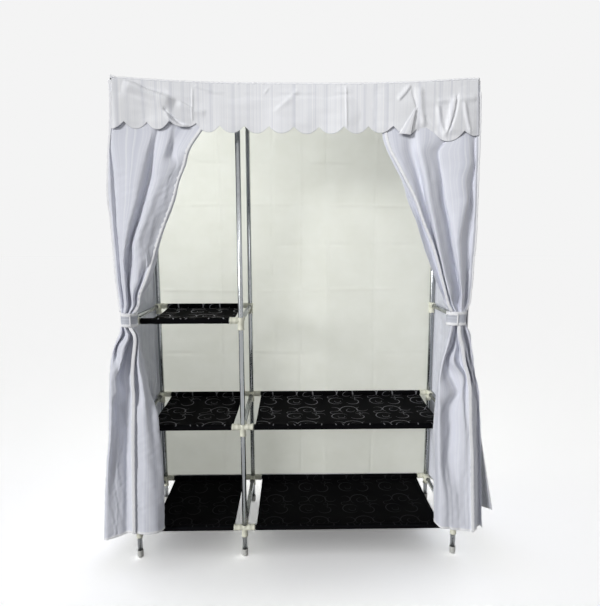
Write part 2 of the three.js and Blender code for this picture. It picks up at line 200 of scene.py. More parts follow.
# %% The lamps
def lamp(name, kind, energy, direction, place=(0, 0, 3), **settings):
    """A lamp of a kind, turned so that it shines along a direction."""
    data = bpy.data.lights.new(name, kind)
    data.energy = energy
    for key, value in settings.items():
        setattr(data, key, value)
    made = bpy.data.objects.new(name, data)
    scene.collection.objects.link(made)
    made.location = place
    made.rotation_euler = Vector(direction).to_track_quat("-Z", "Y").to_euler()


lamp("key", "SUN", 2.25, (0.72, 0.66, -0.26), angle=math.radians(14))
lamp("front", "AREA", 1.5, (0.0, 0.92, -0.20), (0.06, -1.55, 2.05), shape="SQUARE", size=0.5,
     spread=math.radians(100))
lamp("rear", "SUN", 0.60, (-0.95, -0.04, -0.30), angle=math.radians(30))
lamp("behind", "AREA", 10.2, (0.30, -1.0, -0.12), (-0.80, 1.50, 1.75), shape="SQUARE", size=1.1,
     spread=math.radians(110))
print("lamps", [light.name for light in bpy.data.lights])

# %% The floor, which no lamp lights
floor_reach = 30
floor_mesh = bpy.data.meshes.new("floor")
floor_mesh.from_pydata([(x * floor_reach, y * floor_reach, 0)
                        for x, y in ((-1, -1), (1, -1), (1, 1), (-1, 1))], [], [(0, 1, 2, 3)])
floor = bpy.data.objects.new("floor", floor_mesh)
scene.collection.objects.link(floor)
floor_paint = bpy.data.materials.new("floor_paint")
floor_paint.use_nodes = True
tree = floor_paint.node_tree
tree.nodes.clear()
matt = add(tree, "BsdfDiffuse", {"Color": [0.86, 0.86, 0.86, 1]})
white = add(tree, "BsdfDiffuse", {"Color": [3.32, 3.32, 3.32, 1]})
glow = add(tree, "Emission", {"Color": [1, 1, 1, 1], "Strength": 0.14})
bright = add(tree, "AddShader", {0: white.outputs[0], 1: glow.outputs[0]})
shown = seen_by(tree, "Is Camera Ray", "Is Glossy Ray")
pick = add(tree, "MixShader", {0: shown, 1: matt.outputs[0], 2: bright.outputs[0]})
add(tree, "OutputMaterial", {"Surface": pick.outputs[0]})
floor_mesh.materials.append(floor_paint)
for light in [o for o in scene.objects if o.type == "LIGHT"]:
    lit = bpy.data.collections.new(f"lit_by_{light.name}")
    lit.objects.link(floor)
    lit.collection_objects[0].light_linking.link_state = "EXCLUDE"
    light.light_linking.receiver_collection = lit
print("floor", 2 * floor_reach, "m wide")

# %% [markdown]
# ## Meshes from numpy
# Every shape here is a grid of points: rows along one way, columns along the other. A tube is
# a grid whose columns close on themselves. Sizes are laid out about the middle of the frame,
# and the mesh maker adds the frame's own place, so each object stays at the origin.

# %% From a grid of points to a mesh
def mesh_of(name, points, faces, uv=None):
    """One mesh object from points (about the frame's middle), faces and a flat size map."""
    data = bpy.data.meshes.new(name)
    data.from_pydata((points + [centre_x, centre_y, 0.0]).tolist(), [], faces)
    data.polygons.foreach_set("use_smooth", np.ones(len(faces), bool))
    if uv is not None:
        corners = np.zeros(len(data.loops), np.int32)
        data.loops.foreach_get("vertex_index", corners)
        layer = data.uv_layers.new(name="flat")
        layer.data.foreach_set("uv", uv[corners].astype(np.float32).ravel())
    data.update()
    made = bpy.data.objects.new(name, data)
    scene.collection.objects.link(made)
    return made


def quads(rows, columns, closed=False, first=0):
    """The four-sided faces of a grid, row after row; closed joins the last column to the first."""
    spans = columns if closed else columns - 1
    j, i = np.meshgrid(np.arange(rows - 1), np.arange(spans), indexing="ij")
    a = first + j * columns + i
    b = first + j * columns + (i + 1) % columns
    return np.stack([a, b, b + columns, a + columns], -1).reshape(-1, 4).tolist()


def sheet_mesh(name, grid, flat, flip=False):
    """An open sheet: grid is rows x columns x 3, flat is its size map in metres."""
    rows, columns = grid.shape[:2]
    faces = quads(rows, columns)
    if flip:
        faces = [face[::-1] for face in faces]
    return mesh_of(name, grid.reshape(-1, 3), faces, flat.reshape(-1, 2))


print("a grid of 3 x 3 points has", len(quads(3, 3)), "faces")


# %% Turned bodies
def capped(rings):
    """Points and faces of a body made of closed rings, with a flat face on the first and last."""
    rows, columns = rings.shape[:2]
    faces = quads(rows, columns, True)
    faces.append(list(range(columns))[::-1])
    faces.append([(rows - 1) * columns + n for n in range(columns)])
    return rings.reshape(-1, 3), faces


def spin(outline, axis, at, count=32):
    """A body turned about an axis: at each [radius, place] the ring is the centre plus the
    radius times the cosine and the sine of the angle, in the axis's two cross directions."""
    outline = np.array(outline, float)
    angle = np.linspace(0, 2 * np.pi, count, endpoint=False)[:, None]
    along = "xyz".index(axis)
    way = np.eye(3)
    round_part = np.cos(angle) * way[(along + 1) % 3] + np.sin(angle) * way[(along + 2) % 3]
    rings = outline[:, 0, None, None] * round_part + outline[:, 1, None, None] * way[along]
    return capped(rings + np.array(at, float))


def joined(parts):
    """Several bodies as one list of points and one list of faces."""
    points, faces, first = [], [], 0
    for p, f in parts:
        points.append(p)
        faces += [[n + first for n in face] for face in f]
        first += len(p)
    return np.concatenate(points), faces


print("a cylinder has", len(spin([[1, 0], [1, 1]], "z", [0, 0, 0])[1]), "faces")


# %% What each piece gets: a finish, a body, the parts that it stands for and a thickness
def settle(piece, body, finish, stands_for=()):
    """Gives a piece its finish, its body and the nodes that it stands for. A piece given no body,
    such as a curtain or the valance, gets none here."""
    piece.data.materials.append(finish)
    if body:
        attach(piece, body)
    if stands_for:
        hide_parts(*stands_for)
    return piece


def thicken(piece, thickness):
    """A sheet gets its real thickness, half to each side."""
    wall = piece.modifiers.new("thickness", "SOLIDIFY")
    wall.thickness, wall.offset = thickness, 0.0
    return piece


cloth_wall, panel_wall, tie_wall = 0.0009, 0.0011, 0.0010
print("cloth", cloth_wall, "panels", panel_wall, "ties", tie_wall)


# %% Sewn tapes
def unit(vectors):
    """Each vector divided by its length."""
    return vectors / np.maximum(np.linalg.norm(vectors, axis=-1, keepdims=True), 1e-9)


def run_along(path):
    """How far along a path each of its points lies: the sum of the steps before it."""
    return np.concatenate([[0], np.cumsum(np.linalg.norm(np.diff(path, axis=0), axis=1))])


def outward(points, faces):
    """Turns the faces of a closed body over if its signed volume is below zero."""
    volume = sum(np.dot(points[f[0]], np.cross(points[f[n]], points[f[n + 1]]))
                 for f in faces for n in range(1, len(f) - 1))
    return [face[::-1] for face in faces] if volume < 0 else faces


def strip(path, across, face, width, thickness, closed=False, pucker=0.0, seed=1):
    """A sewn tape along a path: its section is a flat rounded loop, width along across and
    thickness along face. Pucker lifts it by a sum of short waves, as a gathered seam does.
    Returns points, faces and the flat map (place across, run along)."""
    across, face = np.broadcast_to(across, path.shape), np.broadcast_to(face, path.shape)
    run = run_along(path)
    dice = np.random.default_rng(seed)
    unrest = sum(np.sin(run * 2 * np.pi / dice.uniform(0.008, 0.030) + dice.uniform(0, 6.3))
                 for _ in range(5)) / 2.2
    wide = np.array([-1, -0.93, -0.5, 0, 0.5, 0.93, 1, 0.93, 0.5, 0, -0.5, -0.93]) * 0.5
    high = np.array([0, 0.72, 1, 1, 1, 0.72, 0, -0.72, -1, -1, -1, -0.72]) * 0.5
    ring = len(wide)
    reach = width * (1 + 0.10 * unrest * (pucker > 0))
    points = (path[:, None] + wide[:, None] * reach[:, None, None] * across[:, None]
              + (high[:, None] * thickness + pucker * unrest[:, None, None]) * face[:, None])
    flat = np.stack(np.broadcast_arrays(wide * width, run[:, None]), -1).reshape(-1, 2)
    if closed:
        faces = quads(len(path), ring, True)
        last = (len(path) - 1) * ring
        faces += [[last + n, last + (n + 1) % ring, (n + 1) % ring, n] for n in range(ring)]
        points = points.reshape(-1, 3)
    else:
        points, faces = capped(points)
    return points, outward(points, faces), flat


def bound(name, body, strips):
    """One mesh of several tapes, in the binding cloth."""
    points, faces = joined([(p, f) for p, f, _ in strips])
    flat = np.concatenate([m for _, _, m in strips])
    return settle(mesh_of(name, points, faces, flat), body, binding)


print("a run of 3, 4 and 12", run_along(np.array([[0, 0], [3, 0], [3, 4], [15, 4]])))

# %% [markdown]
# ## Shared effects for the finishes
# Cloth has a grain of pressed fibres, and this cover also has fine stripes along its length.
# Both effects are used by several finishes, so each is a node group with its own inputs.

# %% Node groups: fibre grain, pinstripes and tube marks
def group(name, inputs, outputs):
    """An empty node group; inputs are (name, value or None for a vector), outputs are names."""
    made = bpy.data.node_groups.new(name, "ShaderNodeTree")
    for label, value in inputs:
        kind = "NodeSocketVector" if value is None else "NodeSocketFloat"
        socket = made.interface.new_socket(label, in_out="INPUT", socket_type=kind)
        if value is not None:
            socket.default_value = value
    for label in outputs:
        made.interface.new_socket(label, in_out="OUTPUT", socket_type="NodeSocketFloat")
    return made, made.nodes.new("NodeGroupInput").outputs, made.nodes.new("NodeGroupOutput").inputs


def noise(tree, inputs, **settings):
    """The output of a Noise texture: soft random values about a half."""
    return add(tree, "TexNoise", inputs, **settings).outputs["Fac"]


def ranged(tree, value, start, end, low=0.0, high=1.0):
    """A straight line held at its ends: start gives low and end gives high."""
    return add(tree, "MapRange", {"Value": value, "From Min": start, "From Max": end,
                                  "To Min": low, "To Max": high}).outputs[0]


grain_group, take, give = group("fibre_grain", [("Place", None), ("Fineness", 900.0)],
                                ["Height", "Mottle"])
fibres = noise(grain_group, {"Vector": take["Place"], "Scale": take["Fineness"],
                             "Detail": 2.0, "Roughness": 0.6})
clouds = noise(grain_group, {"Vector": take["Place"], "Scale": 14.0,
                             "Detail": 3.0, "Roughness": 0.55})
grain_group.links.new(fibres, give["Height"])
grain_group.links.new(clouds, give["Mottle"])

stripe_group, take, give = group("pinstripes", [("Across", 0.0), ("Pitch", 0.0035)],
                                 ["Light", "Dark"])
fine = math_node(stripe_group, "DIVIDE", take["Across"], take["Pitch"])
narrow = noise(stripe_group, {"W": fine, "Scale": 1.0, "Detail": 2.0, "Roughness": 0.7},
               noise_dimensions="1D")
coarse = math_node(stripe_group, "MULTIPLY", fine, 0.22)
broad = noise(stripe_group, {"W": coarse, "Scale": 1.0, "Detail": 1.0}, noise_dimensions="1D")
stripe_group.links.new(ranged(stripe_group, narrow, 0.5, 0.78), give["Light"])
stripe_group.links.new(ranged(stripe_group, broad, 0.52, 0.3), give["Dark"])

mark_group, take, give = group("tube_marks", [("Place", None), ("Scale", 40.0)], ["Marks"])
marks = noise(mark_group, {"Vector": take["Place"], "Scale": take["Scale"],
                           "Detail": 6.0, "Roughness": 0.65})
mark_group.links.new(marks, give["Marks"])
print("groups", [g.name for g in bpy.data.node_groups])


# %% What the finishes share
def new_finish(name, **sockets):
    """A material with one Principled shader, whose plain values are set on its own sockets."""
    material = bpy.data.materials.new(name)
    material.use_nodes = True
    tree = material.node_tree
    tree.nodes.clear()
    values = {key.replace("_", " "): value for key, value in sockets.items()}
    shader = add(tree, "BsdfPrincipled", values)
    add(tree, "OutputMaterial", {"Surface": shader.outputs[0]})
    return material, tree, shader


def placed(tree, made, inputs):
    """A node group in a material, with its own values."""
    return add(tree, "Group", inputs, node_tree=made).outputs


def lets_light_through(tree, shader, colour, share):
    """Thin cloth: a share of each face passes light on, so a lit sheet glows from behind."""
    passed = add(tree, "BsdfTranslucent", {"Color": colour})
    both = add(tree, "MixShader", {0: share, 1: shader.outputs[0], 2: passed.outputs[0]})
    out = next(n for n in tree.nodes if n.type == "OUTPUT_MATERIAL")
    tree.links.new(both.outputs[0], out.inputs["Surface"])


def blended(tree, share, a, b):
    """A colour between a and b; share is a value from 0 to 1 or a node's output."""
    return add(tree, "Mix", {0: share, 6: a, 7: b}, data_type="RGBA").outputs[2]


def bumped(tree, shader, height, distance):
    """Small relief: the height times the distance tilts the shaded surface."""
    bump = add(tree, "Bump", {"Height": height, "Distance": distance, "Strength": 1.0})
    tree.links.new(bump.outputs[0], shader.inputs["Normal"])


print("finish helpers: colours, bumps, groups and light through cloth")

# %% Steel and plastic
steel, tree, shader = new_finish("steel_tube", Metallic=1.0)
place = add(tree, "TexCoord").outputs["Object"]
marks = placed(tree, mark_group, {"Place": place, "Scale": 60.0})["Marks"]
colour = blended(tree, marks, linear(150, 153, 156), linear(176, 179, 181))
feed(tree, shader, {"Base Color": colour, "Roughness": ranged(tree, marks, 0.0, 1.0, 0.16, 0.30)})


def plastic(name, low, high, rough_low, rough_high):
    """Moulded plastic: a faint cloud in its colour and a very fine pebbled skin."""
    material, tree, shader = new_finish(name)
    place = add(tree, "TexCoord").outputs["Object"]
    grain = placed(tree, grain_group, {"Place": place, "Fineness": 1400.0})
    cloud = grain["Mottle"]
    feed(tree, shader, {"Base Color": blended(tree, cloud, low, high),
                        "Roughness": ranged(tree, cloud, 0.0, 1.0, rough_low, rough_high)})
    bumped(tree, shader, grain["Height"], 0.00006)
    return material


ivory = plastic("ivory_plastic", linear(214, 214, 196), linear(230, 230, 214), 0.36, 0.5)
foot_grey = plastic("foot_plastic", linear(186, 187, 184), linear(204, 204, 200), 0.45, 0.6)
print("finishes", steel.name, ivory.name, foot_grey.name)


# %% [markdown]
# ## The finishes of the cloth
# The cover is a thin pressed cloth with fine stripes that run down its length. The stripes
# follow the cloth's own flat size map, so they bend with each fold. The back is a plain cream
# cloth, and the edges are bound with white tape that is stitched in two rows.

# %% The striped cloth of the cover and the ties, with a lighter copy as painted light and a darker copy as painted shade
def cover_finish(name, low, mid, high):
    """Pressed cloth with lengthwise stripes: the flat map's first number picks the stripe."""
    material, tree, shader = new_finish(name, Roughness=0.62, Specular_IOR_Level=0.35)
    coords = add(tree, "TexCoord")
    across = add(tree, "SeparateXYZ", {0: coords.outputs["UV"]}).outputs[0]
    stripes = placed(tree, stripe_group, {"Across": across, "Pitch": 0.0042})
    grain = placed(tree, grain_group, {"Place": coords.outputs["Object"], "Fineness": 700.0})
    colour = blended(tree, math_node(tree, "MULTIPLY", stripes["Dark"], 0.55), mid, low)
    colour = blended(tree, math_node(tree, "MULTIPLY", stripes["Light"], 0.8), colour, high)
    colour = blended(tree, math_node(tree, "MULTIPLY", grain["Mottle"], 0.16), colour, low)
    tree.links.new(colour, shader.inputs["Base Color"])
    height = math_node(tree, "MULTIPLY_ADD", stripes["Light"], 0.6, grain["Height"])
    bumped(tree, shader, height, 0.00012)
    lets_light_through(tree, shader, colour, 0.1)
    return material


cover = cover_finish("cover_cloth", linear(206, 209, 222), linear(228, 230, 239),
                     linear(244, 246, 250))
# The valance's copy of the same striped cloth is lighter: painted light.
valance_finish_painted_light = cover_finish("valance_stripes_painted_light", linear(212, 214, 222), linear(240, 241, 244),
                          linear(253, 253, 253))
# The ties' copy of the same striped cloth is darker: painted shade.
tie_finish_painted_shade = cover_finish("tie_cloth", linear(176, 179, 190), linear(200, 203, 212),
                        linear(220, 223, 230))
print("striped", cover.name, valance_finish_painted_light.name, tie_finish_painted_shade.name)

# %% The cream cloth of the back
cream, tree, shader = new_finish("back_cloth", Roughness=0.8, Specular_IOR_Level=0.3)
place = add(tree, "TexCoord").outputs["Object"]
grain = placed(tree, grain_group, {"Place": place, "Fineness": 800.0})
colour = blended(tree, grain["Mottle"], linear(239, 240, 234), linear(247, 248, 244))
tree.links.new(colour, shader.inputs["Base Color"])
bumped(tree, shader, grain["Height"], 0.00012)
lets_light_through(tree, shader, colour, 0.72)
print("plain", cream.name)

# %% The binding tape with its two rows of stitches
rib_pitch, stitch_pitch, stitch_share = 0.0016, 0.0042, 0.68
seam_from_middle, thread_half_width = 0.0032, 0.0005
binding, tree, shader = new_finish("binding_cloth", Roughness=0.7)
coords = add(tree, "TexCoord")
flat = add(tree, "SeparateXYZ", {0: coords.outputs["UV"]})
grain = placed(tree, grain_group, {"Place": coords.outputs["Object"], "Fineness": 1100.0})
ribs = math_node(tree, "SINE", math_node(tree, "MULTIPLY", flat.outputs[1], 2 * np.pi / rib_pitch))
row = math_node(tree, "SUBTRACT", math_node(tree, "ABSOLUTE", flat.outputs[0]), seam_from_middle)
near = math_node(tree, "LESS_THAN", math_node(tree, "ABSOLUTE", row), thread_half_width)
repeat = math_node(tree, "FRACT", math_node(tree, "DIVIDE", flat.outputs[1], stitch_pitch))
dash = math_node(tree, "LESS_THAN", repeat, stitch_share)
stitch = math_node(tree, "MULTIPLY", near, dash)
tape = blended(tree, grain["Mottle"], linear(238, 239, 242), linear(250, 250, 252))
tree.links.new(blended(tree, stitch, tape, linear(200, 202, 210)), shader.inputs["Base Color"])
height = math_node(tree, "MULTIPLY_ADD", ribs, 0.25, grain["Height"])
bumped(tree, shader, math_node(tree, "SUBTRACT", height, stitch), 0.00016)
print("tape", binding.name)

# %% [markdown]
# ## The frame
# The posts are columns of tube lengths that meet inside the connectors. Each tube is spun from an
# outline with a turned-in edge at each end; only the hanging rail gets the thin dark joint line
# where two lengths meet. Cross tubes and depth tubes are the same tube, turned.

# %% Posts, cross tubes and depth tubes
tube_radius = 0.0095


def tube(name, start, end, axis, at, stands_for, joints=()):
    """A round tube with a small turned-in edge at each end, and a fine groove at each joint."""
    r = tube_radius
    outline = [[r - 0.0012, start], [r, start + 0.0006]]
    for place in joints:
        outline += [[r, place - 0.0007], [r - 0.0005, place - 0.0003],
                    [r - 0.0005, place + 0.0003], [r, place + 0.0007]]
    outline += [[r, end - 0.0006], [r - 0.0012, end]]
    points, faces = spin(outline, axis, at)
    return settle(mesh_of(name, points, faces), "wardrobe", steel, stands_for)


local_x = {side: post_x[side] - centre_x for side in sides}
local_y = {"front": -half_depth, "back": half_depth}
for row in ("front", "back"):
    for side in sides:
        low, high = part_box(f"post_{row}_{side}")
        tube(f"steel_post_{row}_{side}", low[2], high[2], "z", [local_x[side], local_y[row], 0],
             [f"post_{row}_{side}"])
for node in sorted(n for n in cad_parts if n.startswith("tube_l")):
    low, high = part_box(node)
    mid = middle(node) - [centre_x, centre_y, 0]
    tube(f"steel_{node}", low[0] - centre_x, high[0] - centre_x, "x", [0, mid[1], mid[2]], [node])
low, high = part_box("hanging_rail")
rail_mid = middle("hanging_rail") - [centre_x, centre_y, 0]
tube("steel_hanging_rail", low[0] - centre_x, high[0] - centre_x, "x",
     [0, rail_mid[1], rail_mid[2]], ["hanging_rail"], [float(rail_mid[0])])

# %% [markdown]
# ## Connectors and feet
# A connector is one moulding: a sleeve round the post and short sockets round the tubes.
# The real one has a thicker rim at each mouth, a rib on each socket and soft edges, so each arm is
# spun from an outline with those steps, and the sleeve covers the crossing.

# %% The connectors of each rung
socket_radius, socket_reach = 0.0118, 0.041
bore_out, bore_in = tube_radius + 0.0004, tube_radius - 0.0004


def arm(axis, way, at, mouth=0.0130):
    """One socket: thicker at its mouth, with a thin rib, from the crossing outwards."""
    r, reach = socket_radius, socket_reach
    outline = np.array([
        [r - 0.0008, 0.0], [r, 0.004], [r, reach * 0.42], [r + 0.0007, reach * 0.45],
        [r + 0.0007, reach * 0.50], [r, reach * 0.53], [r, reach - 0.0075],
        [mouth - 0.0006, reach - 0.0062], [mouth, reach - 0.0050], [mouth, reach - 0.0010],
        [mouth - 0.0010, reach], [bore_out, reach], [bore_in, reach - 0.002]])
    outline[:, 1] *= way
    points, faces = spin(outline, axis, at)
    return points, faces if way > 0 else [face[::-1] for face in faces]


def has_bay(level, bay):
    """Every level has both bays, except the third, which has only the left one."""
    return level != 2 or bay == "left"


def connector(level, side, row):
    """The bodies of one connector at a crossing of a post with its tubes."""
    at = [local_x[side], local_y[row], levels[level]]
    top = level == 3
    rise = (0.013 if side == "mid" else 0.030) if top else 0.0115
    r = socket_radius
    sleeve = [[bore_in, -0.034], [bore_out, -0.036], [r + 0.0006, -0.036], [r + 0.0011, -0.0345],
              [r + 0.0011, -0.0315], [r, -0.0300], [r, -0.013], [r + 0.0008, -0.011],
              [r + 0.0008, 0.007], [r, 0.0085]]
    if top:
        sleeve += [[r, rise - 0.005], [r - 0.0012, rise - 0.002], [r - 0.004, rise - 0.0004],
                   [0.004, rise - 0.0001]]
    else:
        sleeve += [[r, rise - 0.001], [r - 0.0008, rise], [bore_out, rise], [bore_in, rise - 0.002]]
    parts = [spin(sleeve, "z", at), arm("y", 1 if row == "front" else -1, at, mouth=0.0124)]
    if side != "left" and has_bay(level, "left" if side == "mid" else "right"):
        parts.append(arm("x", -1, at))
    if side != "right" and has_bay(level, "right" if side == "mid" else "left"):
        parts.append(arm("x", 1, at))
    return parts


for level in range(4):
    for side in sides:
        node = f"rung_l{level + 1}_{side}"
        points, faces = joined(connector(level, side, "front") + connector(level, side, "back"))
        settle(mesh_of(f"connectors_l{level + 1}_{side}", points, faces), "wardrobe",
               ivory, [node])
        tube(f"steel_depth_l{level + 1}_{side}", -half_depth + 0.013, half_depth - 0.013, "y",
             [local_x[side], 0, levels[level]], [node])
for node in ("rail_hook_mid", "rail_hook_right"):
    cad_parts[node].data.materials.clear()
    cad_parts[node].data.materials.append(ivory)

# %% Foot caps
foot_outline = [[0.004, 0.0], [0.0075, 0.0002], [0.0100, 0.0012], [0.0113, 0.0032],
                [0.0117, 0.006], [0.0117, 0.0225], [0.0120, 0.0235], [0.0120, 0.0285],
                [0.0115, 0.0300], [0.0099, 0.0300], [0.0093, 0.028]]
for row in ("front", "back"):
    for side in sides:
        points, faces = spin(foot_outline, "z", [local_x[side], local_y[row], 0])
        settle(mesh_of(f"foot_cap_{row}_{side}", points, faces), "wardrobe",
               foot_grey, [f"foot_{row}_{side}"])
print("feet", 2 * len(sides))

# %% [markdown]
# ## Shelf cloths
# Each shelf is one black cloth with a sewn tunnel at the front and at the back, pulled over the
# cross tubes. Its section is a closed loop round each tube and a slack floor between them.
# The loop hangs a little below the tube, as the photograph shows. A thin glossy print of
# curls covers the cloth. It is drawn by a node group that makes one arc, placed several times
# in a repeating tile: a layout of plain arcs and rings.

# %% The arc group
arc_group, take, give = group("print_arc", [("Place", None), ("X", 0.0), ("Y", 0.0),
                                            ("Radius", 0.03), ("Start", 0.0), ("Sweep", 3.0),
                                            ("Width", 0.001)], ["Mask"])


def arc_math(operation, *values):
    """A Math node inside the arc group."""
    return math_node(arc_group, operation, *values)


point = add(arc_group, "SeparateXYZ", {0: take["Place"]})
dx = arc_math("SUBTRACT", point.outputs[0], take["X"])
dy = arc_math("SUBTRACT", point.outputs[1], take["Y"])
radius = arc_math("SQRT", arc_math("MULTIPLY_ADD", dx, dx, arc_math("MULTIPLY", dy, dy)))
angle = arc_math("SUBTRACT", arc_math("ARCTAN2", dy, dx), take["Start"])
swept = arc_math("DIVIDE", arc_math("FLOORED_MODULO", angle, 2 * np.pi), take["Sweep"])
taper = arc_math("SINE", arc_math("MULTIPLY", swept, np.pi))
within = arc_math("LESS_THAN", swept, 1.0)
half = arc_math("MULTIPLY", take["Width"], arc_math("ADD", taper, 0.25))
away = arc_math("ABSOLUTE", arc_math("SUBTRACT", radius, take["Radius"]))
arc_group.links.new(arc_math("MULTIPLY", arc_math("LESS_THAN", away, half), within), give["Mask"])
print("arc group", len(arc_group.nodes), "nodes")

# %% The black cloth
black, tree, shader = new_finish("black_cloth", Specular_IOR_Level=0.06)
coords = add(tree, "TexCoord")
tile = (0.186, 0.172)
flat = add(tree, "SeparateXYZ", {0: coords.outputs["UV"]})
in_tile = [math_node(tree, "FLOORED_MODULO", flat.outputs[n], tile[n]) for n in (0, 1)]
spot = add(tree, "CombineXYZ", {0: in_tile[0], 1: in_tile[1]}).outputs[0]
arc_inputs = ("X", "Y", "Radius", "Start", "Sweep", "Width")
arcs = [(0.046, 0.048, 0.034, 0.4, 5.2, 0.0016), (0.052, 0.044, 0.014, 2.6, 4.4, 0.0012),
        (0.118, 0.040, 0.028, 3.4, 4.2, 0.0017), (0.152, 0.062, 0.021, 0.2, 3.6, 0.0012),
        (0.092, 0.120, 0.038, 5.6, 4.6, 0.0018), (0.098, 0.116, 0.017, 1.4, 4.9, 0.0012),
        (0.150, 0.128, 0.024, 2.0, 4.0, 0.0015), (0.030, 0.126, 0.022, 4.2, 4.4, 0.0014),
        (0.020, 0.090, 0.011, 0.9, 4.6, 0.0011), (0.126, 0.088, 0.010, 3.0, 5.0, 0.0011)]
print_mask = None
for arc in arcs:
    one = placed(tree, arc_group, {"Place": spot, **dict(zip(arc_inputs, arc))})["Mask"]
    print_mask = one if print_mask is None else math_node(tree, "MAXIMUM", print_mask, one)
place = add(tree, "SeparateXYZ", {0: coords.outputs["Object"]})
printed_from_y = -0.1775  # the front fold carries no print
on_top = math_node(tree, "GREATER_THAN", place.outputs[1], printed_from_y)
# The print shows less towards the floor: painted shade on the lower shelves, which lie under the
# ones above.
painted_shade_by_height = ranged(tree, place.outputs[2], 0.2, 0.9, 0.06, 1.0)
print_mask = math_node(tree, "MULTIPLY", print_mask, math_node(tree, "MULTIPLY", on_top, painted_shade_by_height))
grain = placed(tree, grain_group, {"Place": coords.outputs["Object"], "Fineness": 800.0})
cloth_colour = blended(tree, grain["Mottle"], linear(1, 1, 2), linear(6, 6, 8))
feed(tree, shader, {"Base Color": blended(tree, print_mask, cloth_colour, linear(150, 150, 154)),
                    "Roughness": ranged(tree, print_mask, 0.0, 1.0, 0.86, 0.26)})
bumped(tree, shader, math_node(tree, "MULTIPLY_ADD", print_mask, 1.6, grain["Height"]), 0.0001)
print("arcs in the print", len(arcs))


# %% The section of a shelf cloth
def eased(value):
    """A smooth step from 0 to 1: three times the square less twice the cube."""
    value = np.clip(value, 0, 1)
    return value * value * (3 - 2 * value)


def shelf_section(count):
    """Y and height of the cloth round the section: the outside of the front tunnel from its
    seam, over the tube, the floor, then the back tunnel. Lengths come from the points."""
    r = tube_radius + 0.0006
    hang, low_edge, seam_angle, sag = 0.0108, 0.0087, -62, 0.0085
    turn = np.radians(np.linspace(seam_angle, 180, 40))
    front = np.stack([-half_depth + r * np.cos(turn), r * np.sin(turn)], -1)
    drop = np.linspace(0, 1, 12)[1:]
    fall = np.stack([-half_depth - r + 0.0022 * drop ** 2 + 0.004 * eased((drop - 0.7) / 0.3),
                     -hang * drop], -1)
    back_up = np.stack([-half_depth - r + 0.0062 + 0.0105 * drop,
                        -hang + (hang - low_edge) * drop], -1)
    front_loop = np.concatenate([front, fall, back_up])
    share = np.linspace(0, 1, count)
    start = front[0]
    floor_line = np.stack([start[0] + share * (-2 * start[0]),
                           start[1] - sag * 4 * share * (1 - share)], -1)
    return np.concatenate([front_loop[::-1], floor_line[1:-1], front_loop * [-1, 1]])


print("points round the section", len(shelf_section(60)))


# %% The shelves
def build_shelf(level, bay):
    """One shelf cloth: the section pulled along the bay, with soft ripples inside its edges."""
    node = f"shelf_l{level + 1}_{bay}"
    low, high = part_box(node)
    section = shelf_section(60)
    run = run_along(section)
    x = np.linspace(low[0] - centre_x, high[0] - centre_x, 140)
    width = x[-1] - x[0]
    grid = np.zeros((len(section), len(x), 3))
    grid[..., 0] = x
    grid[..., 1] = section[:, None, 0]
    grid[..., 2] = section[:, None, 1] + levels[level]
    inside = np.clip(1 - (np.abs(section[:, 0]) / (half_depth - 0.02)) ** 2, 0, 1)[:, None]
    u = (x - x[0]) / width
    v = (section[:, 0] / half_depth)[:, None]
    ripple = (np.sin(9 * u + 3 * v + level) * 0.5 + np.sin(17 * u - 6 * v + 2.1) * 0.3
              + np.sin(31 * u + 11 * v) * 0.15)
    grid[..., 2] += inside * (0.0022 * ripple - 0.003 * (4 * u * (1 - u)))
    flat = np.stack(np.broadcast_arrays(x + level * 0.05, run[:, None]), -1)
    piece = thicken(sheet_mesh(f"cloth_{node}", grid, flat, flip=True), cloth_wall)
    settle(piece, "wardrobe", black, [node])
    return run[-1]


for level, bay in ((0, "left"), (0, "right"), (1, "left"), (1, "right"), (2, "left")):
    length = build_shelf(level, bay)
print("shelf cloth length", round(float(length), 3))

# %% [markdown]
# ## Cloth that hangs
# A fold is drawn by lines that run down the cloth. Each line has a picture column and a depth
# at a few heights. A smooth curve goes through these values down the cloth, and a second one
# across it, so the surface passes through every line. Small ripples and creases come on top.

# %% A smooth curve through values
def through(knots, values, at):
    """Catmull-Rom: between two knots a cubic whose end slopes are those of the neighbours."""
    knots, values = np.asarray(knots, float), np.asarray(values, float)
    flat = values.reshape(len(knots), -1)
    step = np.diff(knots)
    chord = np.diff(flat, axis=0) / step[:, None]
    slope = np.empty_like(flat)
    slope[0], slope[-1] = chord[0], chord[-1]
    weight = (step[1:] / (step[1:] + step[:-1]))[:, None]
    slope[1:-1] = weight * chord[:-1] + (1 - weight) * chord[1:]
    index = np.clip(np.searchsorted(knots, at, side="right") - 1, 0, len(step) - 1)
    t = ((at - knots[index]) / step[index])[:, None]
    h = step[index][:, None]
    out = (2 * t ** 3 - 3 * t ** 2 + 1) * flat[index]
    out = out + (t ** 3 - 2 * t ** 2 + t) * h * slope[index]
    out = out + (3 * t ** 2 - 2 * t ** 3) * flat[index + 1]
    out = out + (t ** 3 - t ** 2) * h * slope[index + 1]
    return out.reshape((len(at),) + values.shape[1:])


print("half way from 0 to 1", through([0, 1], [0, 1], np.array([0.5])))


# %% Ripples and creases
def waves(u, v, pitch, seed, count=9):
    """Soft unrest: the sum of sine waves of about that pitch, each with its own direction,
    over the square root of their number."""
    dice = np.random.default_rng(seed)
    total = np.zeros(np.broadcast(u, v).shape)
    for _ in range(count):
        way, phase = dice.uniform(0, 2 * np.pi, 2)
        size = 2 * np.pi / (pitch * dice.uniform(0.6, 1.7))
        total = total + np.sin(size * (u * np.cos(way) + v * np.sin(way)) + phase)
    return total / math.sqrt(count)


def normals(grid):
    """The unit normal at each grid point: the cross product of the two grid directions."""
    return unit(np.cross(np.gradient(grid, axis=1), np.gradient(grid, axis=0)))


